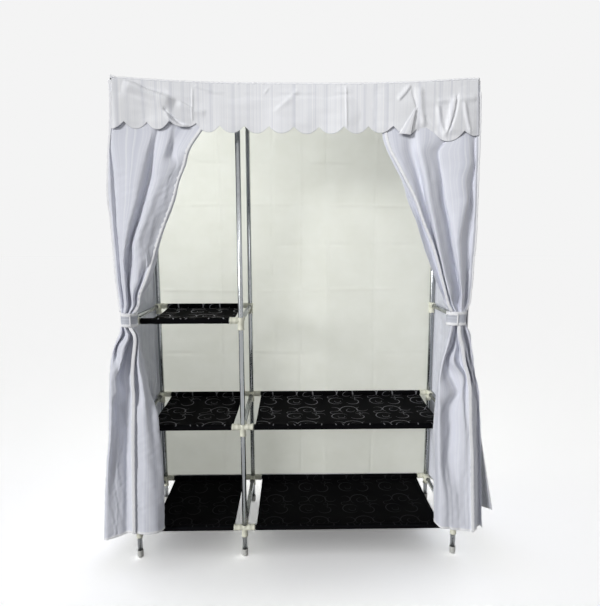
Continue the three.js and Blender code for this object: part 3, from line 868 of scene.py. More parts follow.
def crease(x, z, path, height, near, far=None):
    """A crease along a line of points: height at the line, falling off as a bell over near
    metres on its left side and far metres on its right side, and fading at both ends."""
    far = near if far is None else far
    path = np.array(path, float)
    best = np.full(x.shape, 1e9)
    side = np.ones(x.shape)
    place = np.zeros(x.shape)
    lengths = np.hypot(*np.diff(path, axis=0).T)
    total = lengths.sum()
    done = 0.0
    for a, b, length in zip(path[:-1], path[1:], lengths):
        d = (b - a) / length
        along = np.clip((x - a[0]) * d[0] + (z - a[1]) * d[1], 0, length)
        ox, oz = x - a[0] - along * d[0], z - a[1] - along * d[1]
        away = np.hypot(ox, oz)
        closer = away < best
        best = np.where(closer, away, best)
        side = np.where(closer, np.sign(d[0] * oz - d[1] * ox), side)
        place = np.where(closer, (done + along) / total, place)
        done += length
    spread = np.where(side > 0, near, far)
    return height * np.exp(-(best / spread) ** 2) * eased(np.minimum(place, 1 - place) / 0.2 + 0.15)


def picture_path(points, y):
    """Picture points as x and z at depth y."""
    return [tuple(seen(px, py, y)[[0, 2]]) for px, py in points]


roof_low, roof_high, corner_reach, roof_fade = 0.0133, 0.0303, 0.030, 0.450


def roof_under(x, y):
    """The height of the roof's underside: it rests on the connectors and rises to the corners."""
    from_side = np.maximum(0, half_width - corner_reach - np.abs(x))
    from_end = np.maximum(0, half_depth - corner_reach - np.abs(y))
    fall = np.clip(np.hypot(from_side, from_end) / roof_fade, 0, 1)
    return top_level + roof_low + (roof_high - roof_low) * (1 - fall) ** 2


print("roof corner height", round(float(roof_under(side_x, front_y)), 4))

# %% [markdown]
# ## Roof, back and sides
# These panels are stretched or hang straight. A cloth simulation would change little, so a
# flat grid with creases is enough. The cover came folded in a packet, and the packet's fold
# lines still show as a loose grid of creases.

# %% Roof
rest_gap = 0.0006  # what keeps a cloth off the piece that it lies on
edge_x = side_x + rest_gap

def packet_folds(x, z, columns, rows, height, width, seed):
    """The lines of a cloth that was kept folded: thin ridges at some columns and rows."""
    total = np.zeros(x.shape)
    for n, place in enumerate(columns):
        drift = 0.004 * np.sin(z * 5 + n * 2.3 + seed)
        total += height * (-1) ** n * np.exp(-((x - place - drift) / width) ** 2)
    for n, place in enumerate(rows):
        drift = 0.005 * np.sin(x * 4 + n * 1.7 + seed)
        total += height * (-1) ** n * np.exp(-((z - place - drift) / width) ** 2)
    return total


x = np.linspace(-edge_x, edge_x, 200)
y = np.linspace(front_y - 0.0085, back_y + rest_gap, 90)
X, Y = np.meshgrid(x, y)
Z = roof_under(X, Y) + rest_gap
inner = eased((edge_x - np.abs(X)) / 0.08) * eased((half_depth + 0.01 - np.abs(Y)) / 0.06)
Z = Z - inner * 0.003 * (1 + waves(X, Y, 0.22, 3)) / 2
Z = Z + inner * packet_folds(X, Y, [-0.42, -0.18, 0.09, 0.31, 0.5], [-0.11, 0.09], 0.0014, 0.006, 1)
Z = np.maximum(Z, top_level + roof_low + rest_gap - 0.004 * inner)
roof = sheet_mesh("cover_roof", np.stack([X, Y, Z], -1), np.stack([X, Y], -1))
settle(thicken(roof, panel_wall), "wardrobe", cover, ["roof"])
print("roof", len(y), "x", len(x), "points")

# %% Back panel
x = np.linspace(-edge_x, edge_x, 220)
v = np.linspace(0, 1, 260)
X, V = np.meshgrid(x, v)
top = roof_under(X, back_y) - 0.0002
hem = levels[0]
Z = hem + V * (top - hem)
tight = eased((1 - V) / 0.05) * eased((edge_x - np.abs(X)) / 0.05)
bulge = packet_folds(X, Z, [-0.34, -0.10, 0.02, 0.14, 0.36], [0.40, 0.72, 1.02, 1.22, 1.40, 1.58],
                     0.0026, 0.0050, 2)
bulge = bulge + 0.0016 * waves(X, Z * 0.6, 0.30, 5) + 0.0007 * waves(X * 0.5, Z, 0.09, 6)
Y = back_y + 0.0011 + np.maximum(bulge * tight, -0.0005) + 0.0002
back = sheet_mesh("cover_back", np.stack([X, Y, Z], -1), np.stack([X, Z], -1), flip=True)
settle(thicken(back, panel_wall), "wardrobe", cream, ["back_panel"])
print("back", len(v), "x", len(x), "points")


# %% Side panels
right_flare, side_hem, flare_from = 0.145, 0.118, 0.900


def side_grid(sign, flare, count=(90, 230)):
    """The panel hangs straight at the back. Towards its lower front corner it leans out by
    flare times a power of the drop times a smooth step of the depth."""
    u, v = np.meshgrid(np.linspace(0, 1, count[0]), np.linspace(0, 1, count[1]))
    y = front_y + u * (back_y + rest_gap - front_y)
    top = roof_under(side_x, y) - 0.0002
    hem = side_hem + 0.075 * (flare / right_flare) * (1 - u) ** 3
    z = hem + v * (top - hem)
    fallen = np.clip((flare_from - z) / (flare_from - side_hem), 0, 1)
    out = flare * fallen ** 1.1 * eased(1 - u)
    slack = eased(u / 0.12) * eased((1 - u) / 0.12) * eased((1 - v) / 0.06)
    ripple = 0.0030 * (1 + waves(y, z * 0.5, 0.16, 8 + sign)) + 0.0010 * waves(y, z, 0.05, 11)
    ripple = ripple + packet_folds(y, z, [-0.08, 0.09], [0.45, 0.78, 1.10, 1.43], 0.0014, 0.006, 4)
    x = sign * (edge_x + out + slack * np.maximum(ripple, 0.0))
    return np.stack([x, y, z], -1), np.stack([y, z], -1)


side_edges = {}
for side, sign, flare in (("left", -1, 0.070), ("right", 1, right_flare)):
    grid, flat = side_grid(sign, flare)
    side_edges[side] = grid
    panel = sheet_mesh(f"cover_side_{side}", grid, flat, flip=sign < 0)
    settle(thicken(panel, panel_wall), "wardrobe", cover, [f"side_{side}"])
print("sides", len(side_edges))

# %% [markdown]
# ## Curtains
# Each curtain hangs from the front edge of the roof behind the valance, is gathered into its
# tie and spreads again to the hem. Simulated cloth would find its own folds; here the folds
# are drawn instead, so that they lie where the photograph has them.

# %% Left fold lines, outer edge first: (height, picture columns, depths in mm), and the hem
left_folds = [
    (1.780, [110.6, 119, 128, 136, 146, 156, 166, 175, 184, 193, 203, 213, 222],
     [2, 6, 3, 7, 4, 7, 3, 7, 3, 7, 3, 6, 4]),
    (1.690, [110.4, 112, 114, 118, 139, 157, 160, 165, 174, 180, 195, 209, 210.5],
     [2, 4, 3, 5, 6, 5, 2.5, 5, 6, 2.5, 5, 5, 3]),
    (1.626, [110, 111, 112, 117, 147, 154, 157.6, 160.5, 169.5, 176, 189, 199.5, 201],
     [2, 4, 3, 5, 8, 6, 2.5, 5, 8, 2.5, 5, 6, 3]),
    (1.594, [109.4, 110, 110.9, 116, 146, 151.5, 155.8, 158.5, 168, 174, 184, 193, 194.5],
     [4, 5, 3, 9, 14, 10, 3, 9, 15, 3, 9, 11, 4]),
    (1.560, [108.7, 109.5, 110.6, 117, 143, 149.5, 153.8, 156.5, 165.5, 170.5, 179, 187.3, 188.8],
     [4, 7, 3, 13, 21, 14, 3, 14, 22, 3, 14, 17, 5]),
    (1.509, [108.3, 110, 112.2, 119, 140, 147, 151.6, 154.5, 161, 173, 178.5, 183.4, 184.8],
     [5, 9, 3, 17, 28, 18, 3, 20, 27, 20, 16, 11, 4]),
    (1.458, [108, 110.5, 114, 120, 137, 144, 148.7, 152.8, 158.5, 166.5, 172, 177.6, 179.3],
     [5, 10, 3, 19, 32, 21, 3, 23, 31, 25, 18, 12, 4]),
    (1.388, [108.5, 111.5, 115.8, 120.5, 134, 139.5, 144.3, 147.3, 151.5, 158, 165.5, 172.3, 174.2],
     [6, 12, 3, 22, 36, 23, 3, 27, 34, 28, 20, 12, 5]),
    (1.318, [110.8, 113, 116.3, 121, 129.5, 134.5, 138.2, 141.3, 145.5, 151, 158, 164.8, 167],
     [6, 13, 4, 25, 39, 25, 3, 30, 37, 30, 22, 13, 5]),
    (1.236, [113, 114.9, 118.5, 121.5, 125, 128.6, 131.6, 134, 138, 143, 150, 156.8, 159.6],
     [8, 14, 5, 27, 40, 27, 4, 32, 39, 32, 23, 14, 5]),
    (1.168, [114.4, 116.6, 119.7, 121.8, 123.8, 126.3, 130.2, 132.8, 139, 146.3, 148.4, 151.3, 156],
     [8, 15, 6, 29, 41, 24, 5, 28, 40, 30, 25, 18, 6]),
    (1.103, [116.4, 118.4, 120.8, 122.6, 125, 127, 128.6, 130.6, 137.6, 141.3, 143, 145.2, 150.5],
     [9, 17, 8, 32, 40, 24, 5, 26, 39, 14, 28, 41, 12]),
    (1.048, [118.2, 120.4, 122.6, 124.2, 126.2, 127.7, 129.6, 132, 134, 136, 137.4, 139, 143],
     [12, 22, 10, 30, 40, 24, 6, 35, 39, 14, 32, 43, 14]),
    (1.011, [119.7, 121.4, 123.2, 124.8, 126.4, 128, 129.8, 131.7, 133.4, 135, 136.4, 137.8, 140],
     [16, 28, 18, 34, 40, 30, 10, 36, 42, 24, 38, 43, 16]),
    (0.987, [120.8, 121.8, 123, 124, 125.2, 126.4, 127.6, 128.8, 130, 131.2, 132.6, 134, 135.6],
     [20, 32, 30, 38, 41, 36, 24, 40, 42, 32, 40, 38, 22]),
    (0.938, [120.8, 121.8, 123, 124, 125.2, 126.4, 127.6, 128.8, 130, 131.2, 132.6, 134, 135.4],
     [20, 32, 22, 38, 42, 34, 24, 40, 42, 34, 43, 36, 18]),
    (0.910, [119.3, 121.3, 123.8, 127, 128.6, 130, 131.6, 132.9, 134.3, 135.8, 136.9, 137.9, 139],
     [22, 36, 12, 46, 50, 34, 14, 32, 50, 26, 42, 36, 12]),
    (0.861, [114, 114.9, 116.4, 119.4, 124.8, 126.4, 128.6, 131.8, 134.4, 136.4, 138, 139.5, 141],
     [30, 38, 14, 48, 55, 14, 8, 22, 51, 30, 46, 38, 12]),
    (0.804, [110.8, 112.6, 115.6, 118.6, 121, 122.2, 126.6, 130.6, 133, 135.2, 138.4, 141.8, 144.2],
     [40, 47, 50, 55, 58, 12, 8, 16, 51, 28, 54, 38, 12]),
    (0.747, [109.6, 111.5, 114, 116.3, 118, 119.4, 124.5, 129.6, 132.6, 135.5, 141, 144.8, 147],
     [46, 52, 50, 46, 32, 16, 10, 13, 51, 28, 56, 40, 12]),
    (0.689, [109, 110.9, 113.5, 116.5, 119.5, 122.5, 126.4, 130.6, 133.5, 136, 143.5, 147.6, 149.8],
     [48, 54, 53, 45, 34, 24, 14, 14, 51, 30, 56, 42, 12]),
    (0.630, [108.8, 111.2, 113.3, 116, 119, 122.2, 126, 130, 133.1, 136.2, 145, 150.3, 156.3],
     [48, 56, 50, 27, 18, 14, 11, 15, 51, 43, 57, 43, 30]),
    (0.531, [108.5, 110.6, 113.5, 117, 120.5, 124, 127, 130.2, 133.2, 136.4, 146, 153.4, 159.8],
     [50, 56, 49, 38, 28, 20, 12, 18, 53, 45, 57, 44, 30]),
    (0.411, [106.3, 108.6, 111.5, 115.5, 119.5, 123.5, 126.8, 129.6, 133.2, 137, 147, 155.8, 162.8],
     [52, 57, 45, 38, 32, 25, 17, 25, 53, 46, 58, 44, 28]),
    (0.288, [105, 107.6, 111, 115, 119, 123, 127, 130.4, 133.8, 136.4, 146, 157.5, 164],
     [54, 57, 53, 48, 43, 37, 30, 36, 54, 48, 58, 46, 26]),
    (0.115, [104.3, 107.5, 111.3, 115, 119, 123, 127.4, 131.3, 134.2, 136.4, 146, 158.5, 164.4],
     [54, 57, 54, 50, 46, 42, 37, 44, 54, 49, 58, 47, 12]),
]
left_hem = [122, 122, 124, 126, 128, 132, 136, 141, 142, 142, 142, 142, 140]
print("left fold lines", len(left_hem), "heights", len(left_folds))

# %% The same for the right curtain
right_folds = [
    (1.780, [480.4, 472, 463, 453, 443, 435, 427, 418, 408, 399, 388, 378, 369],
     [3, 6, 3, 7, 3, 7, 4, 7, 3, 6, 4, 6, 4]),
    (1.690, [480.2, 477, 474, 464, 449, 446, 437, 421, 409, 398, 381, 378, 376.5],
     [3, 4, 2.5, 5, 4, 2.5, 4, 6, 2.5, 5, 4, 3.5, 3]),
    (1.626, [479.8, 477, 474.4, 466, 449.5, 446.5, 437, 420, 410, 399, 385.6, 384, 382.8],
     [4, 5, 2.5, 8, 6, 2.5, 6, 10, 2.5, 8, 5, 4, 3]),
    (1.594, [479.4, 476.6, 474.4, 466.5, 448, 445, 436, 420, 410.5, 400, 387.4, 385.6, 384.4],
     [5, 7, 3, 15, 10, 3, 11, 18, 3, 12, 10, 7, 4]),
    (1.560, [479.2, 476.4, 474.1, 467, 441.5, 439.3, 431, 420, 411.8, 401, 390.6, 389, 387.8],
     [6, 9, 3, 22, 13, 3, 16, 27, 3, 17, 16, 11, 6]),
    (1.509, [478.6, 476.2, 474.1, 468.2, 442, 440, 433, 423, 416, 406, 398.5, 396.3, 394.8],
     [7, 11, 3, 29, 17, 3, 18, 32, 4, 22, 23, 15, 8]),
    (1.458, [478.2, 475.4, 472.3, 464, 444, 442, 435, 426, 420, 412.5, 406, 403.8, 402.2],
     [8, 12, 3, 34, 20, 3, 22, 37, 4, 24, 29, 18, 10]),
    (1.388, [477.4, 474.8, 470.5, 465.3, 446.5, 444.3, 438, 428.8, 424.3, 419.5, 415.8, 411.8, 408],
     [9, 13, 3, 38, 24, 2, 25, 42, 5, 26, 34, 12, 17]),
    (1.318, [476.4, 474, 469.8, 462.3, 450.2, 448, 442, 433, 429.3, 426, 423, 419.8, 415.8],
     [9, 14, 3, 41, 27, 2, 27, 46, 7, 26, 36, 12, 24]),
    (1.236, [475, 472.2, 467.8, 459.3, 453.3, 451, 445.5, 438.3, 434.8, 433.4, 431.9, 428.6, 422.6],
     [10, 15, 3, 43, 31, 2, 29, 49, 12, 30, 39, 15, 27]),
    (1.168, [473, 470.6, 467.5, 460.2, 456.4, 454, 449, 442.5, 440, 438.8, 437.6, 434.6, 429.2],
     [10, 15, 3, 44, 33, 2, 29, 50, 16, 32, 41, 18, 29]),
    (1.103, [472, 470, 467.5, 461.5, 459.6, 457.6, 452, 446.4, 444.2, 443.2, 442.2, 440, 435.8],
     [12, 17, 3, 45, 36, 3, 30, 50, 20, 34, 42, 20, 30]),
    (1.048, [470.2, 468.6, 466.2, 462.6, 461.2, 459.6, 455, 450.6, 448.5, 447.3, 446, 444.2, 441.8],
     [14, 18, 5, 45, 38, 5, 30, 50, 26, 34, 42, 24, 30]),
    (1.011, [468.4, 467, 464.8, 462.2, 460.3, 458, 455.7, 453.4, 451.4, 450, 448.8, 447.2, 445.4],
     [16, 20, 12, 43, 38, 16, 24, 42, 32, 40, 42, 32, 22]),
    (0.987, [466, 464.6, 463.2, 461.8, 460.4, 459, 457.6, 456.2, 454.8, 453.4, 452, 450.7, 449.3],
     [20, 30, 34, 40, 36, 30, 36, 43, 36, 42, 42, 34, 20]),
    (0.938, [466, 465, 463.4, 461.9, 460.2, 459, 457.9, 456.8, 455.8, 454.6, 453, 451.2, 449.4],
     [20, 24, 24, 40, 43, 44, 30, 22, 24, 38, 42, 42, 20]),
    (0.910, [469.4, 467.6, 464.3, 461.7, 460.3, 459, 457.3, 456, 454.8, 453, 451.2, 449.6, 448.2],
     [22, 28, 6, 42, 50, 53, 30, 14, 18, 40, 50, 46, 20]),
    (0.861, [471.5, 470, 467.8, 465.2, 463.6, 462, 458.4, 456, 453.2, 450, 447.6, 446, 444.8],
     [24, 22, 6, 32, 46, 54, 16, 34, 10, 38, 53, 43, 18]),
    (0.804, [473.6, 472, 470, 468.4, 466.6, 464.4, 459, 453.3, 447.6, 445, 443.3, 442, 441],
     [24, 24, 8, 44, 30, 56, 22, 50, 14, 38, 53, 43, 18]),
    (0.747, [475.2, 474, 472.4, 471, 469.8, 468.2, 466.2, 461.8, 451, 445, 440.4, 439.3, 438.4],
     [26, 14, 38, 22, 14, 58, 42, 54, 24, 38, 54, 44, 18]),
    (0.689, [479, 477, 475, 473.4, 471.8, 469.8, 466.3, 462, 457.5, 449, 439.8, 438, 436.6],
     [34, 28, 24, 34, 40, 59, 46, 55, 38, 51, 55, 44, 16]),
    (0.630, [479.4, 477.8, 476, 474.5, 472.8, 470.2, 466, 461.5, 451, 445.5, 440, 437.5, 435],
     [22, 12, 24, 34, 42, 59, 50, 53, 26, 38, 55, 45, 14]),
    (0.531, [480.8, 478.4, 475.8, 474.6, 473.4, 471.2, 467.5, 462, 451.6, 446.2, 440, 436.6, 434],
     [22, 5, 26, 38, 46, 59, 57, 55, 25, 37, 55, 44, 14]),
    (0.411, [481.2, 478.7, 476.5, 475.2, 474, 471.9, 468, 460.5, 450, 445.4, 440.3, 437, 434.4],
     [14, 3, 20, 34, 44, 60, 58, 52, 31, 41, 56, 46, 14]),
    (0.288, [481.4, 479.3, 477, 475.7, 474.5, 472.3, 468, 461, 454, 448.5, 443, 438, 433.8],
     [12, 3, 18, 34, 44, 60, 55, 50, 50, 53, 56, 46, 14]),
    (0.115, [481.7, 479.8, 477.6, 476.2, 475, 472.8, 469, 462, 455, 449.5, 443.5, 438.2, 434],
     [20, 6, 16, 32, 44, 60, 56, 52, 50, 52, 55, 44, 12]),
]
right_hem = [131, 133, 134, 134, 134, 138, 139, 140, 142, 146, 150, 155, 160]
print("right fold lines", len(right_hem), "heights", len(right_folds))


# %% The curtain surfaces
per_line = 11  # grid columns from one fold line to the next
tie_y, tie_z = -0.2381, 0.962


def curtain_grid(folds, hem, rows=300):
    """Rows down the cloth and columns across it. The lines are put in place from the picture.
    Past the last one the cloth turns back behind itself, a share of the way to the third line.
    Then one smooth curve goes down each line and one goes across all lines in each row."""
    heights = np.array([f[0] for f in folds])
    depths = np.array([f[2] for f in folds], float) / 1000.0
    columns = np.array([f[1] for f in folds], float)
    behind = columns[:, 12:] + (columns[:, 2:3] - columns[:, 12:]) * [0.2, 0.55, 0.9]
    tied = eased(1 - (np.abs(heights - 0.965) - 0.03) / 0.05)[:, None]
    columns = np.concatenate([columns, behind], 1)
    depths = np.concatenate([depths, [0.003, 0.0016, 0.0016] + tied * [0.006, 0.005, 0.005]], 1)
    z = np.repeat(heights[:, None], depths.shape[1], 1)
    z[-1] = np.array(hem + [hem[-1]] * 3) / 1000.0
    y = front_y - rest_gap - depths
    lines = np.stack([x_seen(columns, y, z), y, z], -1)
    v = np.linspace(0, heights[0] - heights[-1], rows)
    down = through(heights[0] - heights, lines, v)
    u = np.linspace(0, depths.shape[1] - 1, (depths.shape[1] - 1) * per_line + 1)
    return through(np.arange(depths.shape[1]), down.transpose(1, 0, 2), u).transpose(1, 0, 2)


def flat_map(grid):
    """Across: the mean way along the rows. Down: the height."""
    step = np.linalg.norm(np.diff(grid, axis=1), axis=-1).mean(0)
    across = np.concatenate([[0], np.cumsum(step)])
    return np.stack([np.broadcast_to(across, grid.shape[:2]), grid[..., 2]], -1)


def build_curtain(side, folds, hem, sign, seed):
    """The curtain's sheet. Ripples lift it along its normals, most of all near the tie."""
    grid = curtain_grid(folds, hem)
    flat = flat_map(grid)
    z = grid[..., 2]
    face = normals(grid)
    face *= np.sign(-face[..., 1:2] + 1e-6)
    near_tie = np.exp(-((z - tie_z) / 0.16) ** 2)
    free = eased((1.60 - z) / 0.12) * eased((np.abs(z - tie_z) - 0.024) / 0.05)
    w = flat[..., 0]
    ripple = 0.0011 * waves(w * 2.2, z * 0.45, 0.085, seed) + 0.0005 * waves(w, z, 0.035, seed + 1)
    ripple = ripple + near_tie * 0.0012 * waves(w * 3.0, z * 0.25, 0.03, seed + 2)
    grid = grid + face * (free * ripple)[..., None]
    grid[..., 1] = np.minimum(grid[..., 1], front_y - 0.0002)
    piece = thicken(sheet_mesh(f"cover_curtain_{side}", grid, flat, flip=sign > 0), cloth_wall)
    settle(piece, None, cover, [f"curtain_{side}"])
    print(side, "curtain cloth is", round(float(w.max()), 3), "wide")
    return piece, grid


curtains = {"left": build_curtain("left", left_folds, left_hem, -1, 21),
            "right": build_curtain("right", right_folds, right_hem, 1, 31)}

# %% [markdown]
# ## Valance
# A short curtain over the front edge with a scalloped hem. It was folded in the packet, so
# diagonal creases cross it, and two places of its hem have turned up. Creases could be carved
# by hand. Here each one is a line of picture points with a height and a reach on each side,
# so it lies where the photograph has it and is easy to change. Where the scallops meet was
# read from the photograph too.

# %% The outline of the valance
scallop_px = [100.5, 124, 147, 170, 196, 220, 244.5, 269, 294, 319, 344, 368.5, 393, 416.5,
              434.5, 463.6, 487]
hem_points = [(100, 129), (111, 128.8), (135, 128.6), (158, 129.8), (185, 127.8), (201, 131.4),
              (250, 133.2), (300, 134), (350, 134), (393, 133.4), (405, 134.6), (426, 138.2),
              (448, 141.6), (472, 136.6), (490, 135)]
scallop_depth = 0.024
columns, rows = 620, 56
px = np.linspace(111.3, 478.8, columns)
count = through(scallop_px, np.arange(len(scallop_px), dtype=float), px)
hem_px, hem_row = zip(*hem_points)
low_row = through(hem_px, hem_row, px)
low_z = np.array([seen(a, b, valance_y)[2] for a, b in zip(px, low_row)])
low_z = low_z + scallop_depth * (1 - np.abs(np.sin(np.pi * count))) ** 1.2
top_x = np.clip(x_seen(px, valance_y, 1.79), -side_x, side_x)
top_z = roof_under(top_x, front_y) + 0.0004
v = np.linspace(0, 1, rows)[:, None] ** 0.9
z = top_z * (1 - v) + low_z * v
x = x_seen(px, valance_y, z)
print("scallops", len(scallop_px) - 1)

# %% The creases of the valance: (picture points, height, reach on the left, on the right)
creases = [
    ([(122, 80), (134, 85), (147, 91), (160, 96), (176, 101.3)], 0.017, 0.008, 0.036),
    ([(112, 88), (140, 96), (160, 104)], -0.004, 0.020, 0.010),
    ([(178, 101.5), (186, 106), (194, 110.5), (207, 112)], 0.006, 0.005, 0.016),
    ([(140, 86), (152, 89.5), (167, 92)], -0.005, 0.006, 0.006),
    ([(164, 107), (168, 113), (175, 119.5), (184.5, 125.6)], -0.010, 0.004, 0.006),
    ([(165, 110), (170, 119), (178, 125.5), (190, 128)], 0.010, 0.007, 0.006),
    ([(192.3, 86), (192.3, 123)], 0.0030, 0.003, 0.003),
    ([(193, 85), (202, 88.5), (213, 91.3)], 0.0035, 0.004, 0.004),
    ([(196, 94), (240, 95), (300, 95), (392, 94)], -0.0030, 0.004, 0.010),
    ([(262, 98), (268, 88), (274, 84)], 0.0030, 0.005, 0.005),
    ([(300, 88), (286, 102), (274, 112)], 0.0030, 0.010, 0.006),
    ([(346, 83), (346.5, 131)], 0.0034, 0.004, 0.003),
    ([(411.5, 84), (405, 93), (398, 101)], 0.0060, 0.004, 0.010),
    ([(412.5, 85), (413.5, 96), (416.5, 106), (414, 126)], -0.0080, 0.004, 0.003),
    ([(420, 86), (421, 110), (424, 128)], 0.0060, 0.010, 0.010),
    ([(425.9, 116), (429.6, 124), (435, 135)], -0.0060, 0.004, 0.004),
    ([(457.8, 92), (455.5, 108), (452.7, 119), (447.1, 134)], -0.0080, 0.004, 0.003),
    ([(436, 101), (456, 99.5), (479, 98)], 0.0050, 0.010, 0.010),
    ([(463, 101), (466, 118), (470, 136)], 0.0060, 0.007, 0.007),
    ([(438, 104), (440, 122), (446, 139)], 0.0060, 0.008, 0.008),
    ([(454, 97), (451, 112), (446, 135)], 0.012, 0.050, 0.006),
]
relief = 0.0016 * waves(x, z * 0.5, 0.16, 41) + 0.0006 * waves(x, z, 0.05, 42)
for points, height, near, far in creases:
    relief = relief + crease(x, z, picture_path(points, valance_y), height, near, far)
print("creases", len(creases))

# %% The valance with its turned-up corner
w = np.clip(v * 3, 0, 1)
free = eased(v / 0.10) * eased((side_x + 0.004 - np.abs(x)) / 0.02)
sway = 0.0045 * np.sin(2 * np.pi * count / 2.4 + 0.6) * v ** 1.3 + 0.003 * v
y = valance_y * w + (front_y - 0.0062) * (1 - w) - free * (relief + np.maximum(sway, -0.0015))
y = np.minimum(y, valance_y + 0.0012)
y = np.where(v < 0.02, front_y - 0.0070, y)
valance_grid = np.stack([x, y, z], -1)
valance_flat = np.stack([x, z], -1)

corner = [seen(416.6, 105.5, valance_y - 0.006), seen(398.6, 133.6, valance_y - 0.013),
          seen(410.8, 134.9, valance_y - 0.017)]
flap_rows, flap_columns = 24, 14
a, b = np.meshgrid(np.linspace(0.03, 1, flap_rows), np.linspace(0, 1, flap_columns), indexing="ij")
flap = corner[0] + a[..., None] * ((corner[1] - corner[0]) + b[..., None] * (corner[2] - corner[1]))
flap[..., 1] -= 0.004 * np.sin(np.pi * b) * a
flap_flat = np.stack([0.3 + 0.05 * b, 0.1 * a], -1)
points = np.concatenate([valance_grid.reshape(-1, 3), flap.reshape(-1, 3)])
faces = quads(rows, columns)
faces += [face[::-1] for face in quads(flap_rows, flap_columns, first=rows * columns)]
flat = np.concatenate([valance_flat.reshape(-1, 2), flap_flat.reshape(-1, 2)])
valance = thicken(mesh_of("cover_valance", points, faces, flat), cloth_wall)
# The valance wears the lighter copy of the cover cloth: painted light.
settle(valance, None, valance_finish_painted_light, ["valance"])
print("valance", valance_grid.shape)

# %% [markdown]
# ## Ties
# A strip of the cover's cloth holds each curtain together, and its end closes over its front
# as a tab. A simulated band would slide along the folds. So the band is an oval round the
# gathered cloth, with soft puckers, and the tab is a part of the same oval, a little further
# out. Piping runs along the upper and lower edge of both.

# %% The oval of each tie: its middle, half its width, and the angles of its tab's two ends
ties = {"left": (-0.606, 0.0255, 194, 288), "right": (0.5855, 0.033, 190, 265)}
cloth_off, half_tie_depth = 0.0016, 0.0215
band_height, tab_half = 0.0245, 0.0228


def oval(side, angle, grow):
    """A point of the tie's oval: the middle plus each half axis times the cosine or sine."""
    mid_x, half, _, _ = ties[side]
    return np.stack([mid_x + (half + cloth_off + grow) * np.cos(angle),
                     tie_y + (half_tie_depth + cloth_off + grow) * np.sin(angle), 0 * angle], -1)


def oval_out(side, angle):
    """The way out of the oval: each part of the direction over its half axis."""
    half = ties[side][1] + cloth_off
    return unit(np.stack([np.cos(angle) / half, np.sin(angle) / (half_tie_depth + cloth_off),
                          0 * angle], -1))


def tie_face(side, angle, height, grow, seed):
    """The band: the oval pushed out by soft puckers, whose size and place come from a seed."""
    spread = angle[None] + 0 * height[:, None]
    unrest = waves(spread * 0.03, height[:, None], 0.018, seed) * 0.0005
    grid = oval(side, spread, grow) + oval_out(side, spread) * unrest[..., None]
    grid[..., 2] = tie_z + height[:, None] + 0.0006 * np.sin(angle * 2 + seed)
    return grid


print("ties", {side: tie[:2] for side, tie in ties.items()})

# %% Tie bands, tabs and their piping
for side, seed in (("left", 51), ("right", 61)):
    angle = np.linspace(0, 2 * np.pi, 121)[:-1]
    height = np.linspace(-band_height, band_height, 9)
    grid = tie_face(side, angle, height, 0.0006, seed)
    faces = quads(9, len(angle), True)
    run = angle * (ties[side][1] + half_tie_depth + cloth_off) / 2
    flat = np.stack(np.broadcast_arrays(height[:, None] + 0.1, run), -1)
    band = mesh_of(f"cloth_tie_{side}", grid.reshape(-1, 3), faces, flat.reshape(-1, 2))
    # The band and the tab wear the darker copy of the cover cloth: painted shade.
    settle(thicken(band, tie_wall), f"{side}_curtain", tie_finish_painted_shade, [f"tieback_{side}"])
    edges = []
    for way in (-1, 1):
        path = oval(side, angle, 0.0008) + [0, 0, tie_z]
        path[:, 2] += way * 0.0200 + 0.0006 * np.sin(angle * 2 + seed)
        edges.append(strip(path, up_way, oval_out(side, angle), 0.0112, 0.0026, closed=True,
                           pucker=0.00018, seed=seed + way))
    bound(f"tie_piping_{side}", f"{side}_curtain", edges)
    start, end = np.radians(ties[side][2:])
    angle = np.linspace(start, end, 46)
    height = np.linspace(-tab_half, tab_half, 9)
    grid = tie_face(side, angle, height, 0.0036, seed + 3)
    run = (angle - start) * 0.028
    flat = np.stack(np.broadcast_arrays(height[:, None] + 0.3, run), -1)
    tab = thicken(sheet_mesh(f"cloth_tie_tab_{side}", grid, flat), tie_wall)
    settle(tab, f"{side}_tie_tab", tie_finish_painted_shade, [f"tie_tab_{side}"])
    edges = []
    for way in (-1, 1):
        path = oval(side, angle, 0.0038) + [0, 0, tie_z + way * 0.0184]
        edges.append(strip(path, up_way, oval_out(side, angle), 0.0108, 0.0024,
                           pucker=0.00018, seed=seed + 5 + way))
    path = oval(side, np.full(20, end), 0.0040) + [0, 0, tie_z]
    path[:, 2] += np.linspace(-0.0223, 0.0223, 20)
    out = oval_out(side, np.full(20, end))
    edges.append(strip(path, np.cross(out, up_way), out, 0.0050, 0.0020, seed=seed + 9))
    bound(f"tie_tab_piping_{side}", f"{side}_tie_tab", edges)

# %% [markdown]
# ## Bound edges
# White tape covers every cut edge: the roof's seams, the corners, the free edge of each
# curtain and the hems. A line in the finish would stay flat, so a strip with its own section
# follows each edge. On the curtains the sewing has drawn the tape up into small puckers.

# %% Tapes that follow the curtains
def along(grid, column, first, last, lift):
    """A path down the cloth at a grid column, lifted off its face, with its two directions."""
    path = grid[first:last, column]
    down = unit(np.gradient(path, axis=0))
    side_way = unit(np.cross(down, [0.0, -1.0, 0.0]))
    face = unit(np.cross(side_way, down))
    face *= np.sign(-face[:, 1:2] + 1e-9)
    return path + face * lift, side_way, face


def row_of(grid, column, height):
    """The grid row whose height in that column is nearest to a height."""
    return int(np.argmin(np.abs(grid[:, column, 2] - height)))


